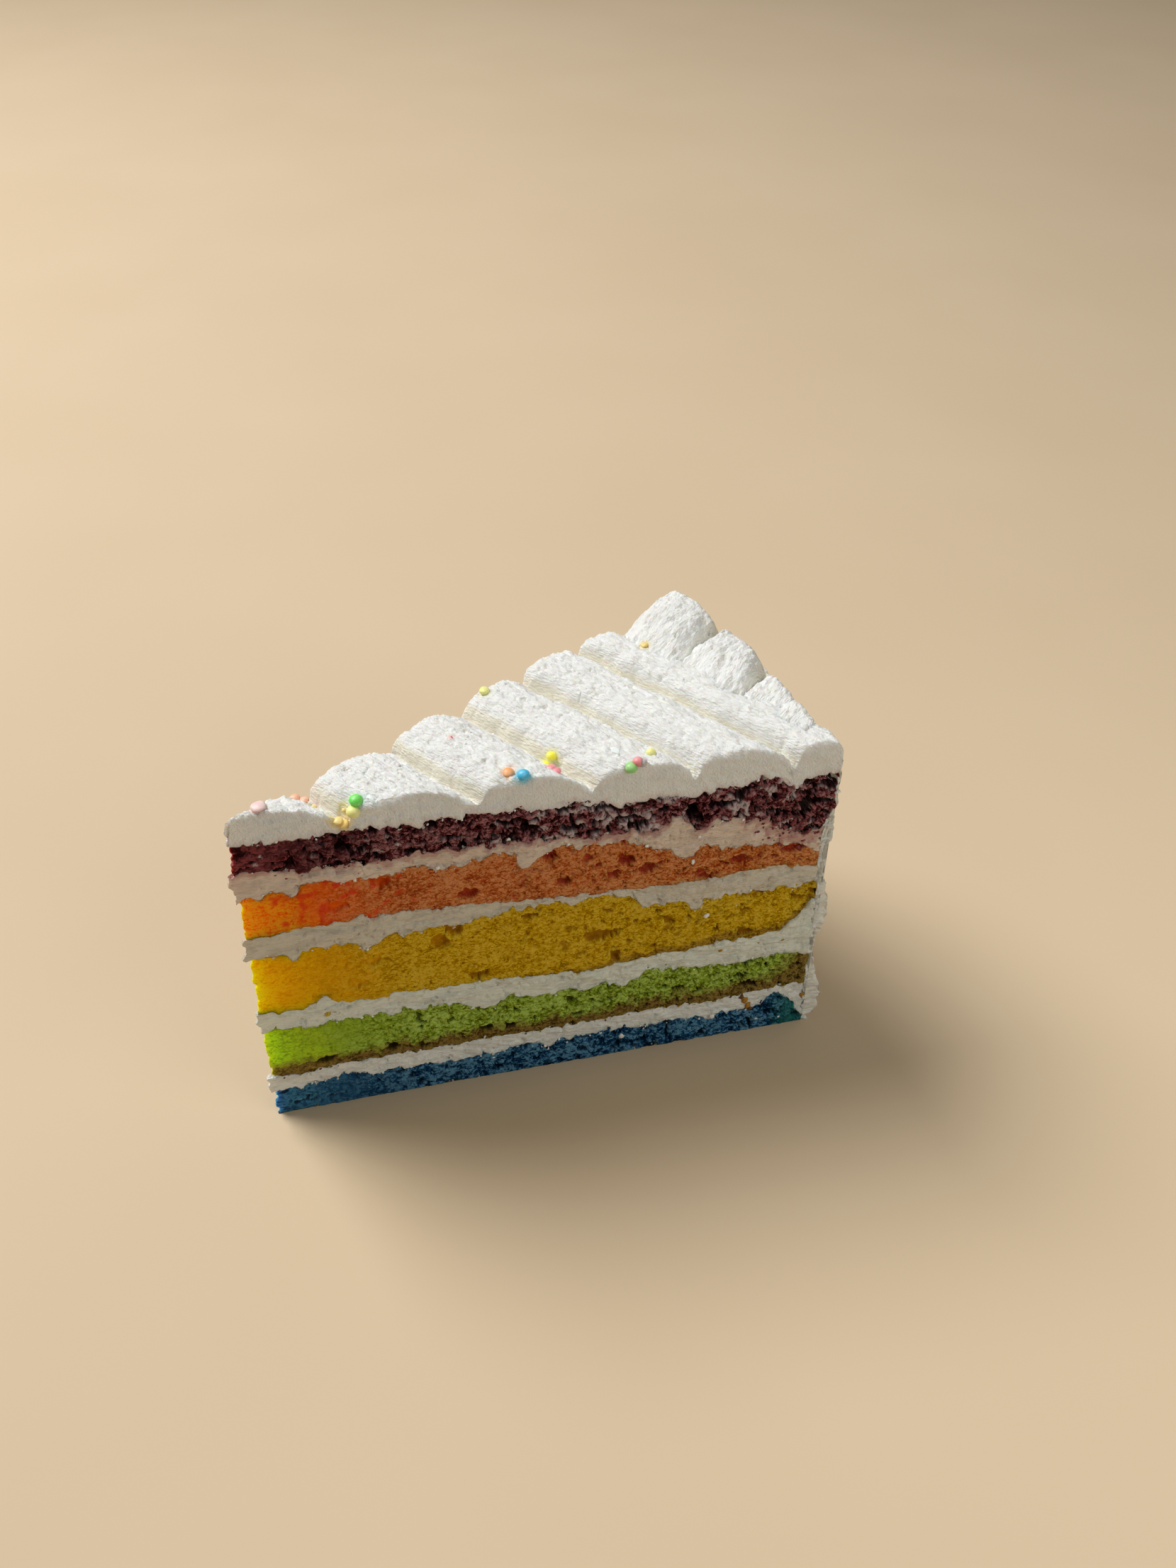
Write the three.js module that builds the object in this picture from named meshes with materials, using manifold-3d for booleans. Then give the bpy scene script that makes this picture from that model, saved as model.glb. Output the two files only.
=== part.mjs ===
// A slice of rainbow layer cake: five coloured sponges with cream between them, a thin cream coat on
// the rim, a top of straight piped cream ridges that cross the slice at a slant, and a border of short
// piped lobes between the last ridge and the rim.
//
// Millimetres, +Z up. +X runs from the tip to the rim along the middle of the wedge, and the origin is
// at the middle of the base. The front cut face is on the -Y side and the rear cut face on the +Y side.

import * as THREE from "three";
import { mergeVertices } from "three/addons/utils/BufferGeometryUtils.js";
import Module from "manifold-3d";

const wasm = await Module();
wasm.setup();

// ---- Driving dimensions ----

const CUT_LENGTH = 111; // along a cut face at the base, from where the two would meet to the rim
const HALF_WEDGE = THREE.MathUtils.degToRad(15); // a twelfth of a round cake
const TIP_RADIUS = 1; // the tip is blunt: it starts this far from where the cut faces would meet
const COAT = 1.6; // thickness of the cream on the rim where it is thinnest
const SWELL = [2.3, 0.8]; // how much more the cream on the rim stands out, at the base and at the top
const LOWEST_SWELL = 0.12; // height of its lowest swelling, as a share of its height
const SWELL_PITCH = 0.35; // from one swelling to the next, as a share of its height
const GAP = 0.3; // clearance between neighbouring pieces
const HEIGHT = 79.2; // base to the crest of the first full ridge
const DRAFT = 0.07; // the plan is smaller by this share at HEIGHT, so the tip and the rim lean in

// Thickness of each layer, from the base up, at five places evenly spaced from the tip to the rim.
const LAYERS = [
  { name: "sponge_blue", thickness: [9.3, 7.8, 7.7, 7.3, 9.1], colour: 0x24587c },
  { name: "cream_blue_green", thickness: [2.9, 4.4, 4.2, 5.1, 3.8], colour: 0xe6e0cf },
  { name: "sponge_green", thickness: [14.1, 13.1, 10.7, 11.6, 9.9], colour: 0x86a82e },
  { name: "cream_green_yellow", thickness: [5.1, 4.9, 6.5, 4.7, 12.1], colour: 0xe6e0cf },
  { name: "sponge_yellow", thickness: [14.9, 16.2, 19.1, 14.2, 7.5], colour: 0xd29a0c },
  { name: "cream_yellow_orange", thickness: [5.1, 5.6, 2.2, 5.6, 4.8], colour: 0xe6e0cf },
  { name: "sponge_orange", thickness: [10.9, 9.9, 11.3, 8.3, 6.7], colour: 0xd06a2a },
  { name: "cream_orange_red", thickness: [4.5, 3.9, 3.0, 5.9, 5.3], colour: 0xe6e0cf },
  { name: "sponge_red", thickness: [7.0, 7.3, 7.3, 7.7, 10.6], colour: 0x5a1f2c },
];

// The top ridges are counted from the tip. Their distances are measured at right angles to them.
const RIDGE_ANGLE = THREE.MathUtils.degToRad(114.5); // the way the ridges run, from +X
const GROOVES = [-1.5, 16.4, 31.2, 45.7, 60, 73.2, 83.5]; // where each ridge starts, and the last ends
const RIDGE_CREST = [5.6, 7.4]; // height of the crests over the red sponge at the tip and at the rim
const GROOVE_DEPTH = 4.8;
const RIDGE_FULLNESS = 2.7; // 2 would make an ellipse, and more gives a flatter top with steeper flanks
const RIDGE_STEPS = 10; // facets across one ridge

// The border lobes, counted from the rear cut face. Each ends at the rim, at a bearing in degrees from
// the middle of the wedge, and points outwards along its heading, in degrees from +X.
const LOBES = [
  { bearing: 13.4, heading: 36, width: 13.6 },
  { bearing: 4.4, heading: 32, width: 13.4 },
  { bearing: -3.8, heading: 29, width: 8.4 },
  { bearing: -8.9, heading: 27, width: 7.6 },
];
const LOBE_INSET = 1.2; // from the lobes' ends to the outside of the rim
const LOBE_CREST = 9; // height of the widest lobe over the red sponge
const LOBE_NOSE = 6; // length of the round end

// ---- Shape functions ----

// A point at radius r from the tip and at an angle from the middle of the wedge, drawn in with height.
function inPlan(r, angle, z) {
  const middle = CUT_LENGTH / 2;
  const scale = 1 - (DRAFT * z) / HEIGHT;
  return new THREE.Vector3(
    middle + (r * Math.cos(angle) - middle) * scale,
    r * Math.sin(angle) * scale,
    z,
  );
}

// A thickness at radius r, eased between the evenly spaced places it is given for.
function along(thickness, r) {
  const { clamp, lerp, smoothstep } = THREE.MathUtils;
  const last = thickness.length - 1;
  const place = clamp(r / CUT_LENGTH, 0, 1) * last;
  const from = Math.min(Math.floor(place), last - 1);
  return lerp(thickness[from], thickness[from + 1], smoothstep(place - from, 0, 1));
}

// Height of the top of the first count layers at radius r.
function stackHeight(count, r) {
  return LAYERS.slice(0, count).reduce(
    (sum, layer) => sum + along(layer.thickness, r),
    0,
  );
}

const spongeTop = (r) => stackHeight(LAYERS.length, r);

// ---- Solid makers ----

// The closed skin of a block that place(u, v, w) bends into shape. u runs from the tip to the rim,
// v from the front cut face to the rear one and w upwards, each from 0 to 1 in the given steps.
function bentBlock(place, [uSteps, vSteps, wSteps]) {
  const positions = [];
  const face = (corner, aSteps, bSteps) => {
    for (let a = 0; a < aSteps; a++) {
      for (let b = 0; b < bSteps; b++) {
        const quad = [
          corner(a / aSteps, b / bSteps),
          corner((a + 1) / aSteps, b / bSteps),
          corner((a + 1) / aSteps, (b + 1) / bSteps),
          corner(a / aSteps, (b + 1) / bSteps),
        ];
        for (const i of [0, 1, 2, 0, 2, 3]) positions.push(...quad[i].toArray());
      }
    }
  };
  face((a, b) => place(a, b, 1), uSteps, vSteps); // top
  face((a, b) => place(b, a, 0), vSteps, uSteps); // base
  face((a, b) => place(a, 0, b), uSteps, wSteps); // front cut face
  face((a, b) => place(b, 1, a), wSteps, uSteps); // rear cut face
  face((a, b) => place(1, a, b), vSteps, wSteps); // rim
  face((a, b) => place(0, b, a), wSteps, vSteps); // tip
  const geometry = new THREE.BufferGeometry();
  geometry.setAttribute("position", new THREE.Float32BufferAttribute(positions, 3));
  return geometry;
}

// The part of the wedge between two radii and between two heights, each height a function of radius.
function wedgeBlock(inner, outer, bottom, top, steps) {
  const { lerp } = THREE.MathUtils;
  return bentBlock((u, v, w) => {
    const r = lerp(inner, outer, u);
    return inPlan(r, lerp(-HALF_WEDGE, HALF_WEDGE, v), lerp(bottom(r), top(r), w));
  }, steps);
}

function toSolid(source) {
  const geometry = source.clone();
  for (const name of Object.keys(geometry.attributes)) {
    if (name !== "position") geometry.deleteAttribute(name);
  }
  const merged = mergeVertices(geometry, 1e-4);
  const triVerts = [];
  for (let i = 0; i < merged.index.count; i += 3) {
    const [a, b, c] = [0, 1, 2].map((k) => merged.index.getX(i + k));
    if (a !== b && b !== c && c !== a) triVerts.push(a, b, c);
  }
  return new wasm.Manifold(
    new wasm.Mesh({
      numProp: 3,
      vertProperties: merged.attributes.position.array,
      triVerts: new Uint32Array(triVerts),
    }),
  );
}

function toGeometry(solid) {
  const mesh = solid.getMesh();
  const geometry = new THREE.BufferGeometry();
  geometry.setAttribute(
    "position",
    new THREE.Float32BufferAttribute(mesh.vertProperties, 3),
  );
  geometry.setIndex(new THREE.BufferAttribute(mesh.triVerts, 1));
  const faceted = geometry.toNonIndexed();
  faceted.computeVertexNormals();
  return faceted;
}

function named(name, geometry, colour, roughness) {
  const material = new THREE.MeshStandardMaterial({
    color: colour,
    roughness,
    metalness: 0,
  });
  const mesh = new THREE.Mesh(geometry, material);
  mesh.name = name;
  return mesh;
}

// ---- Layers ----

function makeLayer(index) {
  const { name, colour } = LAYERS[index];
  const lift = index === 0 ? 0 : GAP; // each layer but the lowest starts one gap over the one below
  const geometry = wedgeBlock(
    TIP_RADIUS,
    CUT_LENGTH - COAT - GAP,
    (r) => stackHeight(index, r) + lift,
    (r) => stackHeight(index + 1, r),
    [16, 6, 1],
  );
  geometry.computeVertexNormals();
  return named(name, geometry, colour, 0.9);
}

// The cream on the rim was spread in bands, so it swells and thins again on the way up.
function makeCoat() {
  const swell = (w) => {
    const band = (w - LOWEST_SWELL) / SWELL_PITCH;
    return THREE.MathUtils.lerp(...SWELL, w) * (0.5 + 0.5 * Math.cos(2 * Math.PI * band));
  };
  const geometry = bentBlock(
    (u, v, w) => {
      const r = CUT_LENGTH - COAT * (1 - u) + swell(w) * u;
      const angle = THREE.MathUtils.lerp(-HALF_WEDGE, HALF_WEDGE, v);
      return inPlan(r, angle, w * spongeTop(CUT_LENGTH));
    },
    [1, 10, 14],
  );
  geometry.computeVertexNormals();
  return named("cream_rim", geometry, 0xe9e4d6, 0.7);
}

// ---- Ridged top ----

const RIDGES_END = GROOVES[GROOVES.length - 1];

// The room over the sponges inside the cut faces, out to a radius.
function roomAbove(outer) {
  const ceiling = HEIGHT + 10;
  return toSolid(
    wedgeBlock(TIP_RADIUS, outer, (r) => spongeTop(r) + GAP, () => ceiling, [16, 6, 1]),
  );
}

// A profile drawn across the ridges, as distance and height, run out along them past both cut faces.
function alongRidges(profile) {
  const reach = 2 * CUT_LENGTH;
  const geometry = new THREE.ExtrudeGeometry(new THREE.Shape(profile), {
    depth: reach,
    bevelEnabled: false,
  });
  geometry.translate(0, 0, -reach / 2);
  geometry.rotateX(Math.PI / 2); // the profile stands up, and the length lies along Y
  geometry.rotateZ(RIDGE_ANGLE - Math.PI / 2);
  geometry.translate(TOP_TIP, 0, 0);
  return toSolid(geometry);
}

// Distances across the ridges are counted from the tip as it is at the top, where it has leaned in.
const TOP_TIP = (CUT_LENGTH / 2) * DRAFT;

// The outline of all the ridges, side by side. Each is a superellipse standing on the groove level.
function ridgeProfile() {
  const profile = [new THREE.Vector2(GROOVES[0], 0)];
  for (let ridge = 0; ridge + 1 < GROOVES.length; ridge++) {
    const start = GROOVES[ridge];
    const width = GROOVES[ridge + 1] - start;
    for (let step = ridge === 0 ? 0 : 1; step <= RIDGE_STEPS; step++) {
      const across = -Math.cos((Math.PI * step) / RIDGE_STEPS); // -1 to 1, closer at the flanks
      const fall = 1 - (1 - Math.abs(across) ** RIDGE_FULLNESS) ** (1 / 2);
      const distance = start + (width * (across + 1)) / 2;
      profile.push(
        new THREE.Vector2(distance, crestHeight(distance) - GROOVE_DEPTH * fall),
      );
    }
  }
  profile.push(new THREE.Vector2(RIDGES_END, 0));
  return profile;
}

// Height of the ridge crests at a distance across the ridges.
function crestHeight(distance) {
  const r = THREE.MathUtils.clamp(distance, 0, CUT_LENGTH);
  const share = r / CUT_LENGTH;
  return spongeTop(r) + THREE.MathUtils.lerp(RIDGE_CREST[0], RIDGE_CREST[1], share);
}

function makeRidgedTop() {
  const ridges = alongRidges(ridgeProfile());
  const solid = roomAbove(CUT_LENGTH).intersect(ridges);
  return named("cream_top", toGeometry(solid), 0xf4f1e6, 0.6);
}

// ---- Border lobes ----

// Everything on the tip's side of the ridges' end, which the lobes keep out of.
function ridgeSide() {
  const end = RIDGES_END + GAP;
  const ceiling = 2 * HEIGHT;
  return alongRidges([
    new THREE.Vector2(-CUT_LENGTH, 0),
    new THREE.Vector2(end, 0),
    new THREE.Vector2(end, ceiling),
    new THREE.Vector2(-CUT_LENGTH, ceiling),
  ]);
}

// Half a lobe's outline, turned about its length: straight sides and a blunt round nose.
function lobeOutline(radius, length) {
  const outline = [new THREE.Vector2(0, 0), new THREE.Vector2(radius, 0)];
  const steps = 6;
  for (let step = 0; step <= steps; step++) {
    const turn = (Math.PI / 2) * (step / steps);
    const side = step === steps ? 0 : radius * Math.cos(turn) ** 0.7;
    outline.push(new THREE.Vector2(side, length + LOBE_NOSE * (Math.sin(turn) - 1)));
  }
  outline.push(new THREE.Vector2(0, 0));
  return outline;
}

function makeLobes() {
  const room = roomAbove(CUT_LENGTH + LOBE_NOSE).subtract(ridgeSide());
  const floor = spongeTop(CUT_LENGTH);
  const widest = Math.max(...LOBES.map(({ width }) => width));
  const length = CUT_LENGTH - RIDGES_END; // enough to start under the last ridge
  return LOBES.map(({ bearing, heading, width }, index) => {
    const { degToRad, lerp } = THREE.MathUtils;
    const angle = degToRad(heading);
    const end = inPlan(CUT_LENGTH - LOBE_INSET, degToRad(bearing), HEIGHT);
    const crest = LOBE_CREST * lerp(1, width / widest, 0.3); // the narrow ones are a little lower
    const body = new THREE.LatheGeometry(lobeOutline(width / 2, length), 20);
    body.rotateZ(angle - Math.PI / 2);
    body.scale(1, 1, crest / (width / 2));
    body.translate(end.x - length * Math.cos(angle), end.y - length * Math.sin(angle), floor);
    const solid = toSolid(body).intersect(room);
    return named(`cream_lobe_${index + 1}`, toGeometry(solid), 0xf4f1e6, 0.6);
  });
}

// ---- The slice ----

const slice = new THREE.Group();
slice.add(...LAYERS.map((_, index) => makeLayer(index)));
slice.add(makeCoat(), makeRidgedTop(), ...makeLobes());

// The origin goes to the middle of the base.
const centre = new THREE.Box3().setFromObject(slice).getCenter(new THREE.Vector3());
slice.position.set(-centre.x, -centre.y, 0);

export default slice;
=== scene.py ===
"""Looks for a slice of rainbow layer cake: open sponge crumb on the cut faces, soft cut cream between the
sponges, a rough spread rim, and a top of piped cream with sugar pearls. Lengths are in millimetres
until a mesh is made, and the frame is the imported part's."""

import math

import bmesh
import bpy
import numpy as np
from mathutils import Matrix, Vector
from mathutils.bvhtree import BVHTree


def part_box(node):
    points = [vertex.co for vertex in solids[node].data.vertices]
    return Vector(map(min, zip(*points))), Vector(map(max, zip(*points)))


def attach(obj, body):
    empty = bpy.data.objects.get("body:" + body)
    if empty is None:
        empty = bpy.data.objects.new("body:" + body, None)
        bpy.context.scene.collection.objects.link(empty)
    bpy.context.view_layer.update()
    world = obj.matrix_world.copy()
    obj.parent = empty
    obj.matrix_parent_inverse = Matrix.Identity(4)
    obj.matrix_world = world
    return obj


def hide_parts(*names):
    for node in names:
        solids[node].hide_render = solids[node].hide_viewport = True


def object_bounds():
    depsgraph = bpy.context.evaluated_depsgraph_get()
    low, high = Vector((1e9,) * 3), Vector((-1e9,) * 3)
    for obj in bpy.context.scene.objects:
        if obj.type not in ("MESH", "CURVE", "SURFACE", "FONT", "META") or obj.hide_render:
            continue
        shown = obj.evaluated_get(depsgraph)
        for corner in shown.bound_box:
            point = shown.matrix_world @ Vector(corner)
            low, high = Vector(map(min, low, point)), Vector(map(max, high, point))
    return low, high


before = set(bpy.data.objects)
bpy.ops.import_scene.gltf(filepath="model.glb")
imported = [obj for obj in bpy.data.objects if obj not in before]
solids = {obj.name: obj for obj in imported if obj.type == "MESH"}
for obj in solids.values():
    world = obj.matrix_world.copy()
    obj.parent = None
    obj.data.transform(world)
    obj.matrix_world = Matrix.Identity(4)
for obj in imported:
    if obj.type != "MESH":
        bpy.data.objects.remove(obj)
cad_box = [list(map(float, corner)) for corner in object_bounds()]

MM = 0.001
ABOVE, BELOW = 200, -50  # well clear of the slice, where rays start
# Spacing of the mesh: on the cut faces, on the rim, out, round and up the piped top, and along and across
# its lobes.
CELL = 0.26
RIM_CELL = 0.3
RIM_STEPS = 8  # through the cream on the rim
TOP_CELLS = (0.34, 0.36, 0.40)
LOBE_CELLS = (0.28, 0.24)
CAP_ROWS = (0, 0.05, 0.15, 0.5, 0.85, 0.95, 1)  # rows across the hidden tops and bottoms of the layers

LAYERS = (
    "sponge_blue", "cream_blue_green", "sponge_green", "cream_green_yellow", "sponge_yellow",
    "cream_yellow_orange", "sponge_orange", "cream_orange_red", "sponge_red",
)
TOP, RIM = "cream_top", "cream_rim"
LOBES = ("cream_lobe_1", "cream_lobe_2", "cream_lobe_3", "cream_lobe_4")


# ---- noise


def hashed(cells, seed):
    """One number from 0 to 1 for each row of whole numbers."""
    mixed = np.full(len(cells), (seed * 7919 + 104729) % 2**31, np.uint64)
    for axis in range(cells.shape[1]):
        mixed ^= cells[:, axis].astype(np.int64).view(np.uint64)
        mixed *= np.uint64(0x9E3779B97F4A7C15)
        mixed ^= mixed >> np.uint64(29)
    mixed *= np.uint64(0xBF58476D1CE4E5B9)
    mixed ^= mixed >> np.uint64(32)
    return (mixed >> np.uint64(11)).astype(float) / 2**53


def noise(points, seed):
    """Smooth noise from -1 to 1 with features about one unit across."""
    cell = np.floor(points).astype(np.int64)
    part = points - cell
    part = part * part * (3 - 2 * part)
    total = np.zeros(len(points))
    for corner in np.ndindex(*[2] * points.shape[1]):
        weight = np.prod(np.where(corner, part, 1 - part), axis=1)
        total += weight * hashed(cell + corner, seed)
    return 2 * total - 1


def layered(points, seed, octaves=4):
    """Noise on several scales, each half the size of the last."""
    total = np.zeros(len(points))
    for octave in range(octaves):
        turned = points * 2**octave + 17.3 * octave
        total += noise(turned, seed + octave) / 2**octave
    return total / 1.6


def warp(points, seed):
    """A sideways shift of each point in the plane, from smooth noise."""
    return np.c_[layered(points, seed, 3), layered(points, seed + 400, 3)]


def around(cell):
    """Each of the cells next to a cell, and the cell itself."""
    for step in np.ndindex(*[3] * cell.shape[1]):
        yield cell + step - 1


def nearest(points, seed):
    """Distances to the nearest and second nearest of points strewn one to each unit square or cube."""
    cell = np.floor(points).astype(np.int64)
    first = np.full(len(points), 4.0)
    second = first.copy()
    for near in around(cell):
        jitter = np.stack([hashed(near, seed + axis) for axis in range(near.shape[1])], 1)
        centre = near + 0.1 + 0.8 * jitter
        far = np.sqrt(((points - centre) ** 2).sum(1))
        second = np.minimum(second, np.maximum(first, far))
        first = np.minimum(first, far)
    return first, second


def crumbs(at, seed, grain):
    """Rounded crumbs about a grain across, from 0 in the creases between them to 1 on top."""
    bent = at / grain + 0.35 * warp(at / (0.9 * grain), seed)
    first, second = nearest(bent, seed + 5)
    return np.clip(1.1 - 1.2 * first**2, 0, 1) * (0.4 + 0.6 * smooth(0, 0.25, second - first))


def holes(points, seed, share):
    """Depth, from 0 to 1, of round holes: a share of the unit squares hold one."""
    cell = np.floor(points).astype(np.int64)
    depth = np.zeros(len(points))
    for near in around(cell):
        centre = near + 0.15 + 0.7 * np.c_[hashed(near, seed + 1), hashed(near, seed + 2)]
        radius = np.where(hashed(near, seed + 3) < share, 0.28 + 0.32 * hashed(near, seed + 4), 1e-9)
        far = ((points - centre) ** 2).sum(1) / radius**2
        depth = np.maximum(depth, np.sqrt(np.clip(1 - far, 0, 1)))
    return depth


def torn(at, width, seed, share):
    """Ragged hollows about a width across over a share of a cut, from 0 at their lips to 1 inside."""
    bent = at / width + 0.3 * warp(at / (0.3 * width), seed)
    level = layered(bent, seed + 3, 2)
    lip = np.quantile(level, 1 - share)
    return smooth(lip, lip + 0.2, level)


def smooth(low, high, value):
    """From 0 at the low value to 1 at the high one, with no corner on the way."""
    share = np.clip((value - low) / (high - low), 0, 1)
    return share * share * (3 - 2 * share)


def bump_at(value, centre, width):
    """From 1 at the centre down to 0 either side, about half way down at a width from it."""
    return np.exp(-(((value - centre) / width) ** 2))


def part_way(start, end, share):
    """The value that lies a share of the way from the start to the end."""
    return start + (end - start) * share


# ---- the wedge, measured on the frame


def points_of(thing):
    """The vertices of an object, in millimetres."""
    co = np.zeros(len(thing.data.vertices) * 3, np.float32)
    thing.data.vertices.foreach_get("co", co)
    return co.reshape(-1, 3).astype(float) / MM


def tree(*things):
    """The faces of some objects, to send rays at, in millimetres."""
    points, faces = [], []
    for thing in things:
        faces += [[len(points) + n for n in face.vertices] for face in thing.data.polygons]
        points += [v.co / MM for v in thing.data.vertices]
    return BVHTree.FromPolygons(points, faces)


def front_corner(points):
    """The point that is furthest to the front."""
    return points[np.argmin(points[:, 1])]


class Wedge:
    """The plan of the slice, which is a little smaller at the top than at the base."""

    def __init__(self):
        base = points_of(solids[LAYERS[0]])
        base = base[base[:, 2] < 0.01]
        corner = front_corner(base)
        tip = front_corner(base[base[:, 0] < base[:, 0].min() + 0.01])
        self.half = math.atan2(tip[1] - corner[1], corner[0] - tip[0])
        self.apex = tip[0] + tip[1] / math.tan(self.half)
        self.inner = math.hypot(tip[0] - self.apex, tip[1])
        self.outer = math.hypot(corner[0] - self.apex, corner[1])
        high = front_corner(points_of(solids[LAYERS[-1]]))
        scale = high[1] / corner[1]
        self.draft = (1 - scale) / high[2]
        self.middle = (high[0] - scale * corner[0]) / (1 - scale)

    def place(self, r, angle, z):
        """The point at a height, from the radius and angle that it has on the plan of the base."""
        scale = 1 - self.draft * z
        x = self.middle + (self.apex + r * np.cos(angle) - self.middle) * scale
        return np.stack(np.broadcast_arrays(x, r * np.sin(angle) * scale, z), -1)

    def polar(self, x, y, z):
        """The radius and angle that a point has on the plan of the base."""
        scale = 1 - self.draft * z
        out = (x - self.middle) / scale + self.middle - self.apex
        return np.hypot(out, y / scale), np.arctan2(y / scale, out)


wedge = Wedge()
EDGE = wedge.outer + 0.3  # where the layers meet the cream on the rim


def hit_height(solid, r, z, upwards):
    """Height, near z, of a solid's top or base on the wedge's middle at radius r, or None past its end."""
    for _ in range(3):
        x = wedge.place(r, 0.0, z)[0]
        start, way = ((x, 0.01, BELOW), (0, 0, 1)) if upwards else ((x, 0.01, ABOVE), (0, 0, -1))
        hit = solid.ray_cast(Vector(start), Vector(way))[0]
        if hit is None:
            return None
        z = hit.z
    return z


STATIONS = np.linspace(wedge.inner + 1, wedge.outer - 1, 80)  # radii where the joints are measured


def measure_interfaces():
    """Heights of the joints between the layers along the radius, from the base up."""
    names = [*LAYERS, TOP]
    heights = [np.zeros(len(STATIONS))]
    for lower, upper in zip(names[:-1], names[1:]):
        near = float(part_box(upper)[0].z) / MM
        below, above = tree(solids[lower]), tree(solids[upper])
        joint = []
        for r in STATIONS:
            top, base = hit_height(below, r, near, False), hit_height(above, r, near, True)
            joint.append(top if base is None else (top + base) / 2)
        heights.append(np.array(joint))
    return heights


INTERFACES = measure_interfaces()


def solid_joint(index, r):
    """Height of a joint between the solids at radius r. The last is the base of the piped top."""
    return np.interp(r, STATIONS, INTERFACES[index])


# Where the cut shows a joint to rise or dip, apart from its general run: for each joint, counted from
# the base, the radius, the rise and the half width of each place.
RISES = {
    1: (
        (4, -2.0, 6), (20, -1.4, 1.5), (36, -0.8, 3), (55, -1.3, 1.5), (89, -2.0, 1.5), (98, -1.2, 3),
        (103, 2.8, 2.0), (109.5, -7.0, 2.6),
    ),
    2: ((6, -0.8, 6), (89, -1.2, 4)),
    3: (
        (10, -0.8, 7), (25, -0.9, 1.5), (33, 0.8, 1.8), (41, -1.3, 6), (48, 1.4, 1.2), (70, -0.9, 5),
        (76.5, 1.7, 1.8), (92, -1.2, 9), (109, -2.0, 2),
    ),
    4: (
        (5, -0.9, 4), (13, 2.2, 1.4), (42, 1.1, 0.7), (63, -1.1, 8), (97.5, -2.2, 5), (103, -2.2, 3),
        (109, 3.0, 2.5),
    ),
    5: ((4, -1.1, 5), (9, -1.6, 2), (22, -2.8, 2.4), (68, 2.3, 4.5), (84.5, -2.4, 1.4)),
    6: ((21, 0.9, 1.2), (65, -0.8, 20), (100, 1.4, 6)),
    7: (
        (4, -1.4, 4), (10, -2.0, 1.5), (36, -0.8, 3), (45, 1.2, 2.2), (52, -2.8, 2.6), (69, 2.1, 6),
        (82.5, -2.8, 2.0), (109, -3.0, 3),
    ),
    8: ((18, -1.0, 8), (60, -1.2, 12), (79, 2.4, 2.2), (84, -0.9, 1.6), (105, -3.4, 5)),
    9: (
        (10, -1.0, 7), (32, -0.7, 6), (71.5, -1.5, 3.5), (82, -1.0, 4), (97, 1.9, 2.2),
        (103.5, -2.4, 1.6),
    ),
}
RAGGED = (0, 0.6, 0.35, 0.7, 0.35, 0.7, 0.35, 0.7, 0.7, 0.6)  # unevenness of each joint
LEAST_LAYER = 0.7  # no layer gets thinner than this


def joints(r, angle):
    """Heights of all the joints at points in plan. They are uneven, and stay in order."""
    plan = np.c_[r * np.cos(angle), r * np.sin(angle)]
    front = smooth(0.5, -0.5, angle / wedge.half)
    heights = [np.zeros(len(r))]
    for index in range(1, len(INTERFACES)):
        z = solid_joint(index, r)
        for centre, rise, width in RISES[index]:
            z = z + rise * front * bump_at(r, centre, width)
        seed = 40 * index
        coarse, fine = layered(plan / 6, seed), layered(plan / 1.4, seed + 9, 3)
        z = z + RAGGED[index] * (0.6 * coarse + 2.0 * fine)
        heights.append(np.maximum(z, heights[-1] + LEAST_LAYER))
    return heights


def shoved(r, z, number):
    """How far each point of a cut lies aside, so that crumbs and cream overhang each other at the joints."""
    at = np.c_[r, z]
    room = smooth(1, 6, r - wedge.inner) * smooth(0, 4, EDGE - 2 - r) * smooth(0.3, 2, z)
    return (0.5 * warp(at / 1.7, 650 + number) + 0.22 * warp(at / 0.7, 660 + number)) * room[:, None]


# ---- meshes

# Each side of a block: the axis and end that are fixed, then the two axes that run across it.
SIDES = {
    "top": (2, 1, 0, 1),
    "base": (2, 0, 1, 0),
    "front": (1, 0, 0, 2),
    "rear": (1, 1, 2, 0),
    "rim": (0, 1, 1, 2),
    "tip": (0, 0, 2, 1),
}


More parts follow.
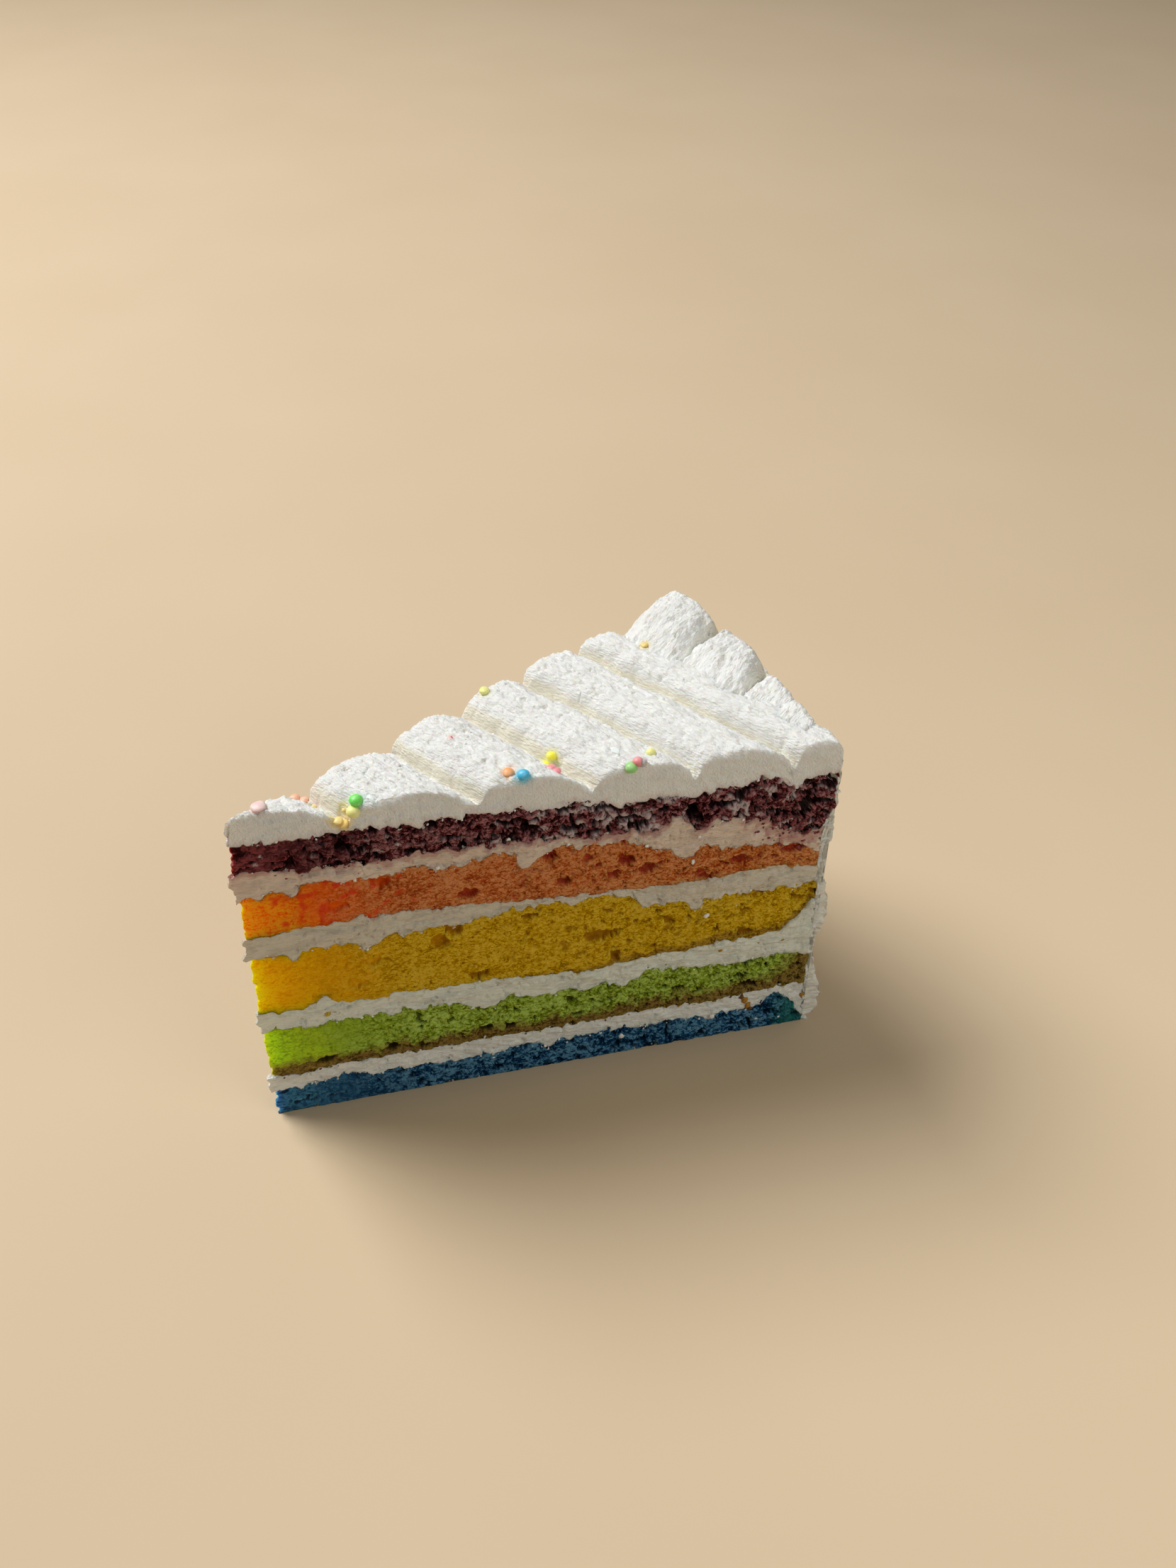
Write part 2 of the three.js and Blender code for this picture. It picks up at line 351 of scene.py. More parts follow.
class Block:
    """The closed skin of a block. Its lattice runs tip to rim, front to rear and base to top. The sides that
    are plain have few faces, and those and the hidden ones are flat."""

    def __init__(self, us, vs, ws, plain=(), hidden=()):
        self.shape = (len(us), len(vs), len(ws))
        self.steps = [count - 1 for count in self.shape]
        self.faces, self.flat = [], []
        for name, side in SIDES.items():
            add_side = self._plain_side if name in plain else self._fine_side
            add_side(side)
            self.flat += [name in (*hidden, *plain)] * (len(self.faces) - len(self.flat))
        used = np.unique(np.concatenate([np.ravel(face) for face in self.faces]))
        self.faces = [np.searchsorted(used, face) for face in self.faces]
        self.lattice = np.stack(np.unravel_index(used, self.shape), 1)
        i, j, k = self.lattice.T
        self.u, self.v, self.w = np.asarray(us)[i], np.asarray(vs)[j], np.asarray(ws)[k]
        self.angle = wedge.half * (2 * self.v - 1)

    def _points(self, side, a, b):
        axis, end, first, second = side
        at = [0, 0, 0]
        at[axis] = end * self.steps[axis]
        at[first], at[second] = a, b
        return np.ravel_multi_index(np.broadcast_arrays(*at), self.shape)

    def _quads(self, side, ring):
        self.faces.append(np.stack([self._points(side, a, b) for a, b in ring], 1))

    def _fine_side(self, side):
        a, b = (axis.ravel() for axis in np.indices([self.steps[axis] for axis in side[2:]]))
        self._quads(side, [(a, b), (a + 1, b), (a + 1, b + 1), (a, b + 1)])

    def _plain_side(self, side):
        """One face across each step, and at both ends one face that takes in the whole edge."""
        wide, last = (self.steps[axis] for axis in side[2:])
        a = np.arange(1, last - 1)
        self._quads(side, [(0 * a, a), (0 * a + wide, a), (0 * a + wide, a + 1), (0 * a, a + 1)])
        rungs = np.arange(wide + 1)
        start = [(b, 0) for b in rungs] + [(wide, 1), (0, 1)]
        finish = [(0, last - 1), (wide, last - 1)] + [(b, last) for b in rungs[::-1]]
        for loop in (start, finish):
            self.faces.append(self._points(side, *np.array(loop).T)[None])

    def on(self, name):
        """Which of the points are on a side."""
        axis, end = SIDES[name][:2]
        return self.lattice[:, axis] == end * self.steps[axis]

    def cuts(self):
        """The number and name of each cut side, and which of the points are on it."""
        for number, side in enumerate(WAY_OUT):
            yield number, side, self.on(side)


def added(name, data):
    """A new object, in the scene."""
    thing = bpy.data.objects.new(name, data)
    bpy.context.scene.collection.objects.link(thing)
    return thing


def add_numbers(piece, key, values):
    """Sets a number on every point."""
    layer = piece.data.attributes.new(key, "FLOAT", "POINT")
    layer.data.foreach_set("value", values.astype(np.float32))


def add_colours(piece, key, colours):
    """Sets a colour, with its strength, on every point."""
    layer = piece.data.attributes.new(key, "FLOAT_COLOR", "POINT")
    layer.data.foreach_set("color", np.asarray(colours, np.float32).ravel())


def make_object(name, points, face_groups, masks=None, flat=None):
    """An object from points in millimetres, with a number on each point for each mask. It is shaded
    smooth, but for the groups of faces that are said to be flat, so that hidden faces don't bend the
    light at an edge."""
    mesh = bpy.data.meshes.new(name)
    counts = np.concatenate([np.full(len(group), group.shape[1]) for group in face_groups])
    mesh.vertices.add(len(points))
    mesh.vertices.foreach_set("co", (np.asarray(points) * MM).ravel())
    mesh.loops.add(counts.sum())
    mesh.loops.foreach_set("vertex_index", np.concatenate([np.ravel(group) for group in face_groups]))
    mesh.polygons.add(len(counts))
    mesh.polygons.foreach_set("loop_start", np.cumsum(counts) - counts)
    rounded = ~np.array(flat or [False] * len(face_groups))
    mesh.polygons.foreach_set("use_smooth", np.repeat(rounded, [len(group) for group in face_groups]))
    mesh.update(calc_edges=True)
    mesh.validate()
    piece = added(name, mesh)
    for key, values in (masks or {}).items():
        add_numbers(piece, key, values)
    return piece


def steps_along(length, cell=CELL):
    """Shares of a length, from 0 to 1, in steps of about a cell."""
    return np.linspace(0, 1, max(2, int(round(length / cell))) + 1)


# ---- relief of the cut faces

# The way out of each cut face.
WAY_OUT = {
    "front": np.array([-math.sin(wedge.half), -math.cos(wedge.half), 0]),
    "rear": np.array([-math.sin(wedge.half), math.cos(wedge.half), 0]),
}
REAR_SEED = 37  # what is added to the seeds of the front cut for the rear one

# The crumb of each sponge: the width of its grains, the depth of the creases between them, and the share,
# width and depth of its ragged hollows.
CRUMB = {
    "sponge_blue": (0.95, 0.45, 0.18, 1.7, 0.9),
    "sponge_green": (0.95, 0.50, 0.125, 1.4, 0.8),
    "sponge_yellow": (0.75, 0.30, 0.13, 1.9, 0.55),
    "sponge_orange": (0.75, 0.30, 0.11, 1.8, 0.6),
    "sponge_red": (1.10, 0.75, 0.24, 1.9, 1.5),
}

# Sponges with few hollows near the thin end, and the radii between which the hollows come in.
EVEN_NEAR_TIP = {"sponge_green": (4, 30), "sponge_yellow": (30, 62), "sponge_orange": (30, 62)}

# Larger holes seen in the cut of each sponge: the radius and height of the middle, half the width, half
# the height, and the depth.
CAVITIES = {
    "sponge_blue": (
        (29, 2.2, 0.6, 1.4, 1.4), (44.5, 2.5, 1.0, 1.2, 1.2), (80, 4.5, 0.5, 2.5, 1.0),
        (98, 2.5, 0.5, 2.0, 1.2),
    ),
    "sponge_green": (
        (11.5, 14.6, 2.0, 1.0, 1.8), (24.5, 14.6, 1.4, 1.1, 1.8), (43, 15.6, 1.4, 0.9, 1.4),
        (47.8, 15.4, 1.3, 1.0, 1.8), (61, 15.6, 1.3, 0.8, 1.5), (82, 18.0, 1.4, 0.9, 1.4),
        (97, 15.6, 1.9, 1.1, 2.6),
    ),
    "sponge_yellow": (
        (38, 46.0, 1.7, 2.1, 1.2), (35.2, 43.0, 1.7, 2, 1.2), (22.3, 40.4, 2.5, 1.1, 0.6),
        (19.4, 35.2, 1.8, 1.4, 0.6), (12.5, 34.2, 2.8, 1.6, 0.4), (42, 32.0, 2.2, 1, 1.2),
        (52.5, 45.6, 1.6, 0.92, 1), (65.5, 37.6, 3, 1.7, 1.3), (69, 31.0, 1, 1.8, 1.3),
        (95, 38.0, 1.5, 0.92, 1),
    ),
    "sponge_orange": (
        (25.3, 60.2, 1.8, 1.4, 1.2), (17.4, 56.2, 2.2, 1.2, 0.78), (41, 54.3, 2, 1.4, 1.2),
        (56.6, 60.5, 1.8, 1.1, 1.3), (71.3, 56.4, 1.4, 1.2, 1.4), (75.2, 53.4, 1.8, 1.2, 1.4),
        (59.2, 53.6, 1.5, 0.94, 1.3), (68.7, 53.4, 1.4, 1.1, 1.2), (93.1, 52.2, 1.6, 0.94, 1.2),
        (103, 53.0, 1.6, 1.2, 1),
    ),
    "sponge_red": (
        (19.8, 69.6, 1.3, 1.4, 2.6), (53, 68.0, 2.0, 1.0, 2.0), (60.5, 66.6, 2.2, 0.7, 2.0),
        (65, 64.8, 1.6, 0.6, 1.6), (78, 67.2, 1.2, 0.8, 2.2), (83.5, 66.4, 1.3, 1.6, 3.2),
        (89.8, 66.6, 2.2, 1.0, 3.2), (105.5, 64.0, 1.2, 2.0, 1.8),
    ),
}


def sponge_relief(name, r, z, seed, seen):
    """How far the crumb stands out from the knife's cut, how deep in a hole each point is, and its crumbs."""
    grain, creases, share, width, depth = CRUMB[name]
    at = np.c_[r, z]
    small = crumbs(at, seed, grain)
    large = crumbs(at, seed + 30, 2.1 * grain)
    coarser = 1 + 0.7 * smooth(50, 85, r)
    back = depth * torn(at / (1.35, 0.8), width, seed + 60, share)
    back = np.maximum(back, 0.7 * depth * torn(at, 0.5 * width, seed + 70, 0.8 * share)) * coarser
    if name in EVEN_NEAR_TIP:
        back = back * (0.1 + 0.9 * smooth(*EVEN_NEAR_TIP[name], r))
    ragged = at + 0.45 * warp(at / 1.1, seed + 80) + 0.3 * warp(at / 0.5, seed + 85)
    for centre, middle, half_width, half_height, deep in CAVITIES[name] if seen else ():
        far = ((ragged - (centre, middle)) ** 2 / (half_width**2, half_height**2)).sum(1)
        back = np.maximum(back, deep * smooth(1.1, 0.6, far))
    rise = 0.65 * small + 0.35 * large
    rough = creases * (0.5 * layered(at / 4, seed + 90) + 0.5 * layered(at / 1.6, seed + 95, 2))
    relief = creases * coarser * (0.75 * smooth(0.0, 0.55, small) + 0.5 * large - 1.0)
    return relief + rough - back, back / 1.2, rise


def cream_relief(r, z, seed):
    """Cream that the knife dragged: streaks along the cut, torn flaps, and small holes."""
    at = np.c_[r, z]
    bent = at + (0.5, 0.25) * warp(at / 1.3, seed + 6)
    flaps = 1 - np.abs(layered(bent / (3.0, 1.1), seed + 12, 3))
    flaps = smooth(0.82, 1.0, flaps) * smooth(0.0, 0.6, layered(at / (9, 2), seed + 15))
    streaks = 0.42 * layered(bent / (3.5, 0.8), seed) + 0.5 * layered(at / (6, 1.6), seed + 5)
    curds = 0.22 * crumbs(at, seed + 50, 0.9) * smooth(0.1, 0.6, layered(at / (6, 1.5), seed + 55))
    pit = np.maximum(holes(bent / 1.5, seed + 20, 0.05), 0.7 * holes(bent / 0.8, seed + 27, 0.10))
    return streaks + 0.4 * flaps + curds - 0.5 * pit, pit


JOINT_LEVEL = -0.12  # how far the relief stands out at the joints
# How far from a joint the relief is brought to that level: as a rule, and in the coarse red crumb.
JOINT_REACH, COARSE_REACH = 0.45, 0.7
FULL_RELIEF = 8  # how far in from the thin end a cut has all of its relief
LEAST_RELIEF = 0.12  # the share of it that is left at the thin end
# How far the sponges, the fillings and the piped top stand out at the thin end.
SPONGE_PROUD, FILLING_PROUD, TOP_PROUD = 0.1, 0.8, 0.3


def ease_at_tip(r):
    """The share of its relief that a cut has, which is little where the slice is thin."""
    return np.clip((r - wedge.inner) / FULL_RELIEF, LEAST_RELIEF, 1)


def met_at_joints(relief, near_joint, reach):
    """The relief, brought close to one level at the joints so that neighbours meet without a step."""
    return part_way(JOINT_LEVEL, relief, 0.15 + 0.85 * smooth(0, reach, near_joint))


def wavering(z, length, seed):
    """Noise up a line, with features about a length apart."""
    return layered(np.c_[z, 0 * z] / length, seed, 3)


def tip_relief(z, seed, proud):
    """How far each layer stands out at the thin end, where cream squeezes out past the sponge."""
    return proud + 0.7 * wavering(z, 1.3, seed)


RIM_THINS = (60.0, 2.2)  # above this height, the cream on the rim is this much thinner


def edge_radius(z):
    """Where the layers end in the cream on the rim."""
    from_height, thinner = RIM_THINS
    return EDGE + thinner * smooth(from_height - 3, from_height + 3, z) + 0.5 * wavering(z, 2.3, 900)


def set_cut(points, here, side, relief, r, angle, z, aside):
    """Puts the points of a cut where they belong: aside along it, and out from it by the relief."""
    points[here] = wedge.place(r[here] + aside[:, 0], angle[here], z[here] + aside[:, 1])
    points[here] += relief[:, None] * WAY_OUT[side]


def make_layer(index):
    """A sponge or the cream between two of them, cut at the front and the rear."""
    name = LAYERS[index]
    thick = np.mean(INTERFACES[index + 1] - INTERFACES[index])
    us, ws = steps_along(EDGE - wedge.inner), steps_along(thick)
    block = Block(us, CAP_ROWS, ws, hidden=("top", "base", "rim"))
    r, angle = part_way(wedge.inner, EDGE, block.u), block.angle
    heights = joints(r, angle)
    z = part_way(heights[index], heights[index + 1], block.w)
    r = part_way(wedge.inner, edge_radius(z), block.u)
    points = wedge.place(r, angle, z)
    masks = {"pit": np.zeros(len(r)), "rise": np.full(len(r), 0.5)}
    masks["from_base"], masks["from_top"] = z - heights[index], heights[index + 1] - z
    for number, side, here in block.cuts():
        seed = 1000 + 100 * index + REAR_SEED * number
        if name in CRUMB:
            relief, pit, masks["rise"][here] = sponge_relief(name, r[here], z[here], seed, side == "front")
        else:
            relief, pit = cream_relief(r[here], z[here], seed)
        near_joint = np.minimum(masks["from_base"][here], masks["from_top"][here])
        reach = COARSE_REACH if name == "sponge_red" else JOINT_REACH
        relief = met_at_joints(relief, near_joint, reach) * ease_at_tip(r[here])
        relief = np.maximum(relief, -0.4 * r[here] * math.tan(wedge.half))
        set_cut(points, here, side, relief, r, angle, z, shoved(r[here], z[here], number))
        masks["pit"][here] = pit
    near_tip = smooth(2.5, 0, r - wedge.inner)
    proud = SPONGE_PROUD if name in CRUMB else FILLING_PROUD
    points[:, 0] -= near_tip * tip_relief(z, 1990 + index, proud)
    return make_object(name.replace("cream", "filling") + "_cut", points, block.faces, masks, block.flat)


# ---- rim


def rim_profile():
    """Radius of the outside of the rim against height."""
    solid = tree(solids[RIM])
    z = np.linspace(0.3, float(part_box(RIM)[1].z) / MM - 0.3, 60)
    out = []
    for height in z:
        x = solid.ray_cast(Vector((ABOVE, 0, height)), Vector((-1, 0, 0)))[0].x
        out.append(wedge.polar(x, 0.0, height)[0])
    return z, np.array(out)


def make_rim():
    """The cream that was spread on the outside of the cake."""
    z_known, r_known = rim_profile()
    arc = 2 * wedge.half * EDGE
    height = solid_joint(-1, EDGE)
    vs, ws = steps_along(arc, RIM_CELL), steps_along(height, RIM_CELL)
    block = Block(np.linspace(0, 1, RIM_STEPS + 1), vs, ws, plain=("tip",))
    angle = block.angle
    top = joints(np.full(len(angle), EDGE), angle)[-1]
    z = top * block.w
    at = np.c_[angle * EDGE, z]
    rough = (
        0.7 * layered(at / (14, 5), 700)
        + 0.6 * layered(at / (11, 1.6), 710)
        + 0.35 * layered(at / 1.1, 720, 3)
        - 0.9 * holes(at / (7, 4), 730, 0.22)
    )
    inner = edge_radius(z)
    outer = np.maximum(np.interp(z, z_known, r_known) + rough - 0.2, inner + 0.6)
    # The top edge is folded in over the highest sponge, away from the cuts.
    folded = (block.w == 1) * smooth(0.8, 3.0, EDGE * (wedge.half - np.abs(angle)))
    inner = inner - 2.0 * folded
    r = part_way(inner, outer, block.u)
    z = z + folded * (0.6 + 0.35 * layered(at / 1.6, 725, 2))
    points = wedge.place(r, angle, z)
    masks = {"pit": np.zeros(len(r)), "from_base": z, "from_top": np.maximum(top - z, 0)}
    for number, side, here in block.cuts():
        relief, pit = cream_relief(r[here], z[here], 760 + REAR_SEED * number)
        relief = relief - 0.25 + 0.35 * layered(np.c_[r[here], z[here]] / 1.6, 790 + number)
        points[here] += relief[:, None] * WAY_OUT[side]
        masks["pit"][here] = pit
    return make_object("rim_spread", points, block.faces, masks, block.flat)


# ---- piped top

RIDGE_ANGLE = math.radians(114.5)  # the way the ridges run, from +X, as in the solid
ACROSS = np.array([math.sin(RIDGE_ANGLE), -math.cos(RIDGE_ANGLE)])
ALONG = np.array([math.cos(RIDGE_ANGLE), math.sin(RIDGE_ANGLE)])


def cad_top(plan, solid):
    """Height of the ridged solid above points in plan, as measured on the frame."""
    heights = np.full(len(plan), np.nan)
    down = Vector((0, 0, -1))
    for index, (x, y) in enumerate(plan):
        hit = solid.ray_cast(Vector((x, y, ABOVE)), down)[0]
        if hit is not None:
            heights[index] = hit.z
    return heights


def ease(grid, passes):
    """Blurs a grid of heights a little, each pass by one cell."""
    for _ in range(passes):
        for axis in (0, 1):
            steps = np.arange(grid.shape[axis])
            before = np.take(grid, np.maximum(steps - 1, 0), axis)
            after = np.take(grid, np.minimum(steps + 1, steps[-1]), axis)
            grid = 0.5 * grid + 0.25 * (before + after)
    return grid


def piped_texture(turned, seed):
    """Fine relief of whipped cream, at places given across and along the way that it was pulled."""
    bent = turned + (0.3, 0.6) * warp(turned / 1.2, seed)
    flakes = crumbs(bent / (0.55, 3.2), seed + 10, 1.0)
    lumps = crumbs(bent / (2.4, 3.8), seed + 15, 1.0)
    streaks = smooth(0.72, 1.0, 1 - np.abs(layered(bent / (0.9, 6.0), seed + 60, 2)))
    pit = np.maximum(torn(bent, 1.0, seed + 20, 0.03), torn(bent, 2.2, seed + 28, 0.015))
    relief = (
        0.5 * layered(turned / (4.0, 7.0), seed + 40)
        + 0.24 * flakes
        + 0.20 * lumps
        + 0.30 * streaks
        + 0.24 * layered(turned / (0.6, 2.0), seed + 50, 3)
        - 0.45 * pit
        - 0.3
    )
    return relief, pit


# The radius where the ridges end on the front cut, and how far across the ridges they reach.
TOP_EDGE = float(wedge.polar(*front_corner(points_of(solids[TOP])))[0]) + 1.0
LAST_RIDGE = float((points_of(solids[TOP])[:, :2] @ ACROSS).max())


def ridge_end(angle, z):
    """How far out the last ridge reaches, as the radius at an angle and a height."""
    scale = 1 - wedge.draft * z
    start = (wedge.middle + (wedge.apex - wedge.middle) * scale) * ACROSS[0]
    way = scale * (np.cos(angle) * ACROSS[0] + np.sin(angle) * ACROSS[1])
    return np.minimum((LAST_RIDGE - start) / way, TOP_EDGE)


LEAN = 0.28  # how far the ridges lean towards the tip for each millimetre of their height
# At each crease between the ridges, and at both ends: its radius on the front cut, how far it lies beyond
# the solid's, and how many times as deep it is.
CREASES = (
    (2, 0, 1.0), (21, -0.7, 1.3), (43.5, 0.7, 1.25), (64.5, 1.4, 1.35), (84, 1.4, 1.6),
    (102.3, 1.7, 2.0), (105, 1.6, 1.1), (114, 0.9, 0.8),
)
CREST = 6.4  # height of the crests above the sponge
CREST_PLAN, CREASE_PLAN = 79.0, 74.0  # heights at which the plans of the crests and the creases are taken
INSIDE = 0.12  # how far inside the cuts a ray has to run, to be sure of meeting the solid


def within_cuts(plan):
    """Places in plan, moved along the ridges if they lie past a cut, until they are over the solid."""
    apex = wedge.place(0.0, 0.0, CREST_PLAN)[:2]
    for side in (-1, 1):
        way_in = np.array([math.sin(wedge.half), -side * math.cos(wedge.half)])
        past = np.clip(INSIDE - (plan - apex) @ way_in, 0, None)
        plan = plan + past[:, None] * ALONG / (ALONG @ way_in)
    return plan


def pulled_ridges(plan, r, angle, level, to_end):
    """Heights of the ridges over places in plan: the solid's, made to sway and lean, with deeper creases."""
    solid = tree(solids[TOP])
    across = plan @ ACROSS
    radii, shifts, depths = (np.array(column, float) for column in zip(*CREASES))
    known = wedge.place(radii, -wedge.half, CREASE_PLAN)[:, :2] @ ACROSS
    middle = plan[np.argmin(np.abs(r - 60) + 100 * np.abs(angle))]  # a place about half way out
    source = middle + (plan - middle) * 0.998  # inside the solid's edges
    source = source - np.interp(across, known, shifts)[:, None] * ACROSS
    sway = 0.8 * warp(plan / 8, 810) + 0.3 * warp(plan / 2.6, 815)
    swayed = source + sway * smooth(0, 4, to_end)[:, None]
    upright = cad_top(within_cuts(source), solid)
    crest = np.zeros(len(r))
    for _ in range(3):  # closes in on the height, since the higher a place is, the further it leans
        stood = np.minimum(LEAN * np.clip(crest, 0, None), 0.5 * to_end)
        found = cad_top(within_cuts(swayed + stood[:, None] * ACROSS), solid)
        found = np.where(np.isnan(found), upright, found)
        found = np.where(np.isnan(found), level + 0.6, found)
        crest = np.clip(found - level - 1.2, 0, None)
    deeper = np.interp(across, known, depths)
    return found - (deeper - 1) * np.clip(level + CREST - found, 0, None)


def crest_grid(us, vs, r, angle, level):
    """The piped top on a grid in plan: its height, its pits, and where its walls are in shade."""
    shape = (len(us), len(vs))
    plan = wedge.place(r, angle, level + 5)[:, :2]
    to_side = r * np.sin(wedge.half - np.abs(angle))
    to_end = ridge_end(angle, level + 5) - r
    crest = ease(pulled_ridges(plan, r, angle, level, to_end).reshape(shape), 1)
    rise = np.gradient(crest, axis=0) / np.gradient(r.reshape(shape), axis=0)
    lower = level.reshape(shape) + CREST - crest
    wall = (smooth(0.4, 1.3, ease(rise, 2)) * smooth(0.8, 2.4, lower)).ravel()
    crest = crest.ravel()
    relief, pit = piped_texture(np.c_[plan @ ACROSS, plan @ ALONG], 830)
    relief = relief * (1 - 0.6 * wall)
    lines = layered(np.c_[crest / 0.45, plan @ ALONG / 9], 870, 2)
    cut_edge = 0.5 * np.clip(1 - to_side / 0.9, 0, 1) ** 2
    rear = angle > 0
    rear_drop = 0.9 * np.clip(1 - to_side / 3.5, 0, 1) ** 2 * rear
    rear_lip = 0.5 * bump_at(to_side, 0.5, 0.5) * rear * np.clip(layered(plan / 1.1, 880, 3), 0, 1)
    rim_drop = 1.2 * np.clip(1 - to_end / 2.0, 0, 1) ** 2
    crest = crest + relief + 0.12 * wall * lines - cut_edge - rear_drop + rear_lip - rim_drop
    return np.maximum(crest, level + 0.5), pit, wall


EDGE_ROUND = 0.5  # how far the top edge of the cut is rounded back
TOP_PLAN = 75.0  # height at which the plan of the top is taken
TOP_THICK = 6.5  # about how thick it is, for the spacing of its mesh


def make_top():
    """The piped ridges, down to the sponge below."""
    sizes = (TOP_EDGE - wedge.inner, 2 * wedge.half * TOP_EDGE, TOP_THICK)
    us, vs, ws = (steps_along(size, cell) for size, cell in zip(sizes, TOP_CELLS))
    block = Block(us, vs, ws, plain=("base",))
    grid_u, grid_v = (axis.ravel() for axis in np.meshgrid(us, vs, indexing="ij"))
    outer = wedge.half * (2 * grid_v - 1)
    grid_r = part_way(wedge.inner, ridge_end(outer, TOP_PLAN), grid_u)
    rounded = outer * (1 - np.minimum(EDGE_ROUND / (grid_r * wedge.half), 0.5))
    level = solid_joint(-1, grid_r)
    crest, pit, wall = crest_grid(us, vs, grid_r, rounded, level)

    i, j, _ = block.lattice.T
    at = np.ravel_multi_index((i, j), (len(us), len(vs)))
    r, crest, pit, wall = grid_r[at], crest[at], pit[at], wall[at]
    turn = np.clip((block.w - 0.8) / 0.2, 0, 1) ** 2
    angle = outer[at] + (rounded - outer)[at] * turn
    base = joints(r, outer[at])[-1]
    z = part_way(base, crest, block.w)
    points = wedge.place(r, angle, z)
    on_top = block.on("top")
    # Painted shade on the walls of the ridges.
    masks = {"pit": pit * on_top, "painted_shade": wall * on_top, "from_base": z - base, "from_top": crest - z}
    for number, side, here in block.cuts():
        relief, small = cream_relief(r[here], z[here], 860 + REAR_SEED * number)
        relief = met_at_joints(0.7 * relief, z[here] - base[here], 0.6) * ease_at_tip(r[here])
        relief = relief * smooth(1.0, 0.85, block.w[here])
        aside = shoved(r[here], z[here], number) * smooth(2.5, 0.8, z[here] - base[here])[:, None]
        set_cut(points, here, side, relief, r, angle, z, aside)
        masks["pit"][here] = 0.5 * small * (block.w[here] < 0.9)
    here = block.on("tip") & ~on_top
    points[here, 0] -= tip_relief(z[here], 1999, TOP_PROUD) * smooth(1, 0.7, block.w[here])
    here = block.on("rim") & ~block.on("base")
    rough = 0.5 * layered(points[here] / 2.5, 880, 3) + 0.25 * layered(points[here] / 0.8, 885, 2)
    points[here, :2] += rough[:, None] * [math.cos(0.1), math.sin(0.1)]
    return make_object("piped_ridges", points, block.faces, masks, block.flat)


# The piped lobes behind the last ridge. Places are across and along the ridges. For each: where its crest
# starts, under the ridge, and where it ends, past the rim; then its half width at the start and at the
# end, on the rear's side and on the front's; then the height of its crest at the start, middle and end.
LOBE_SHAPES = {
    "cream_lobe_1": ((31.0, -4.0), (51.0, 2.0), (10.5, 6.5), (7.5, 9.4), (76.4, 78.4, 77.6)),
    "cream_lobe_2": ((31.0, -17.5), (48.0, -11.5), (12.5, 3.8), (8.0, 9.6), (76.6, 78.0, 76.9)),
    "cream_lobe_3": ((31.5, -28.0), (43.0, -26.5), (7.5, 4.8), (5.0, 5.4), (76.4, 76.6, 76.2)),
    "cream_lobe_4": ((31.0, -33.0), (40.0, -34.5), (7.0, 6.8), (6.5, 7.0), (77.2, 77.0, 76.4)),
}
LOBE_END = 110.4  # radius where they end
LOBE_NOSE = 3.4  # how far back from there they start to round down


def make_lobe(name, seed):
    """One piped lobe, from under the last ridge to past the rim."""
    start, end, rear, front, crests = LOBE_SHAPES[name]
    start, end = np.array(start), np.array(end)
    length, width = np.linalg.norm(end - start), max(rear) + max(front)
    us, vs = (steps_along(size, cell) for size, cell in zip((length, width), LOBE_CELLS))
    block = Block(us, vs, (0, 1), hidden=("base",))
    side = -np.cos(np.pi * block.v)  # -1 at the front's edge and 1 at the rear's
    turn = np.array([ACROSS, ALONG])

    def plan_at(share):
        half = np.where(side > 0, np.interp(share, (0, 1), rear), np.interp(share, (0, 1), front))
        place = part_way(start, end, share[:, None])
        place[:, 1] += side * half
        return place, place @ turn

    reach = np.full(len(side), 1.0)
    for _ in range(12):  # closes in on where each line along the lobe meets its end
        xy = plan_at(reach)[1]
        r = wedge.polar(*xy.T, TOP_PLAN)[0]
        reach = np.minimum(reach - (r - LOBE_END) / length, 1.0)
    share = reach * np.sin(np.pi / 2 * block.u)
    turned, xy = plan_at(share)
    r, angle = wedge.polar(*xy.T, TOP_PLAN)
    level = solid_joint(-1, r) - 0.5
    crest = np.interp(share, (0, 0.5, 1), crests) + 0.5 * layered(turned / 5, seed)
    steep, gentle = np.sqrt(1 - np.abs(side) ** 4.2), np.sqrt(1 - np.abs(side) ** 2.6)
    nose = np.sqrt(np.clip(1 - np.clip(1 - (LOBE_END - r) / LOBE_NOSE, 0, 1) ** 2.8, 0, 1))
    body = np.where(side < 0, steep, gentle) * nose
    relief, pit = piped_texture(turned[:, ::-1], seed + 5)
    lumps, dents = layered(turned / (3.0, 2.2), seed + 9), holes(turned / 3.5, seed + 31, 0.12)
    relief = relief + 0.45 * lumps - 0.5 * dents
    on_top = block.on("top")
    z = level + np.where(on_top, 0.3 + (crest - level) * body + relief * smooth(0, 0.6, body), 0)
    angle = np.minimum(angle, wedge.half - 0.2 / r)
    points = wedge.place(r, angle, z)
    masks = {
        "pit": pit * on_top * smooth(0.1, 0.5, body),
        # painted shade on the steep flank at the front's edge
        "painted_shade": 0.75 * smooth(-0.55, -0.95, side) * on_top,
        "from_base": z - level + 1,
        "from_top": 9 - (z - level),
    }
    return make_object(name.replace("cream", "piped"), points, block.faces, masks, block.flat)


# ---- sugar pearls and crumbs

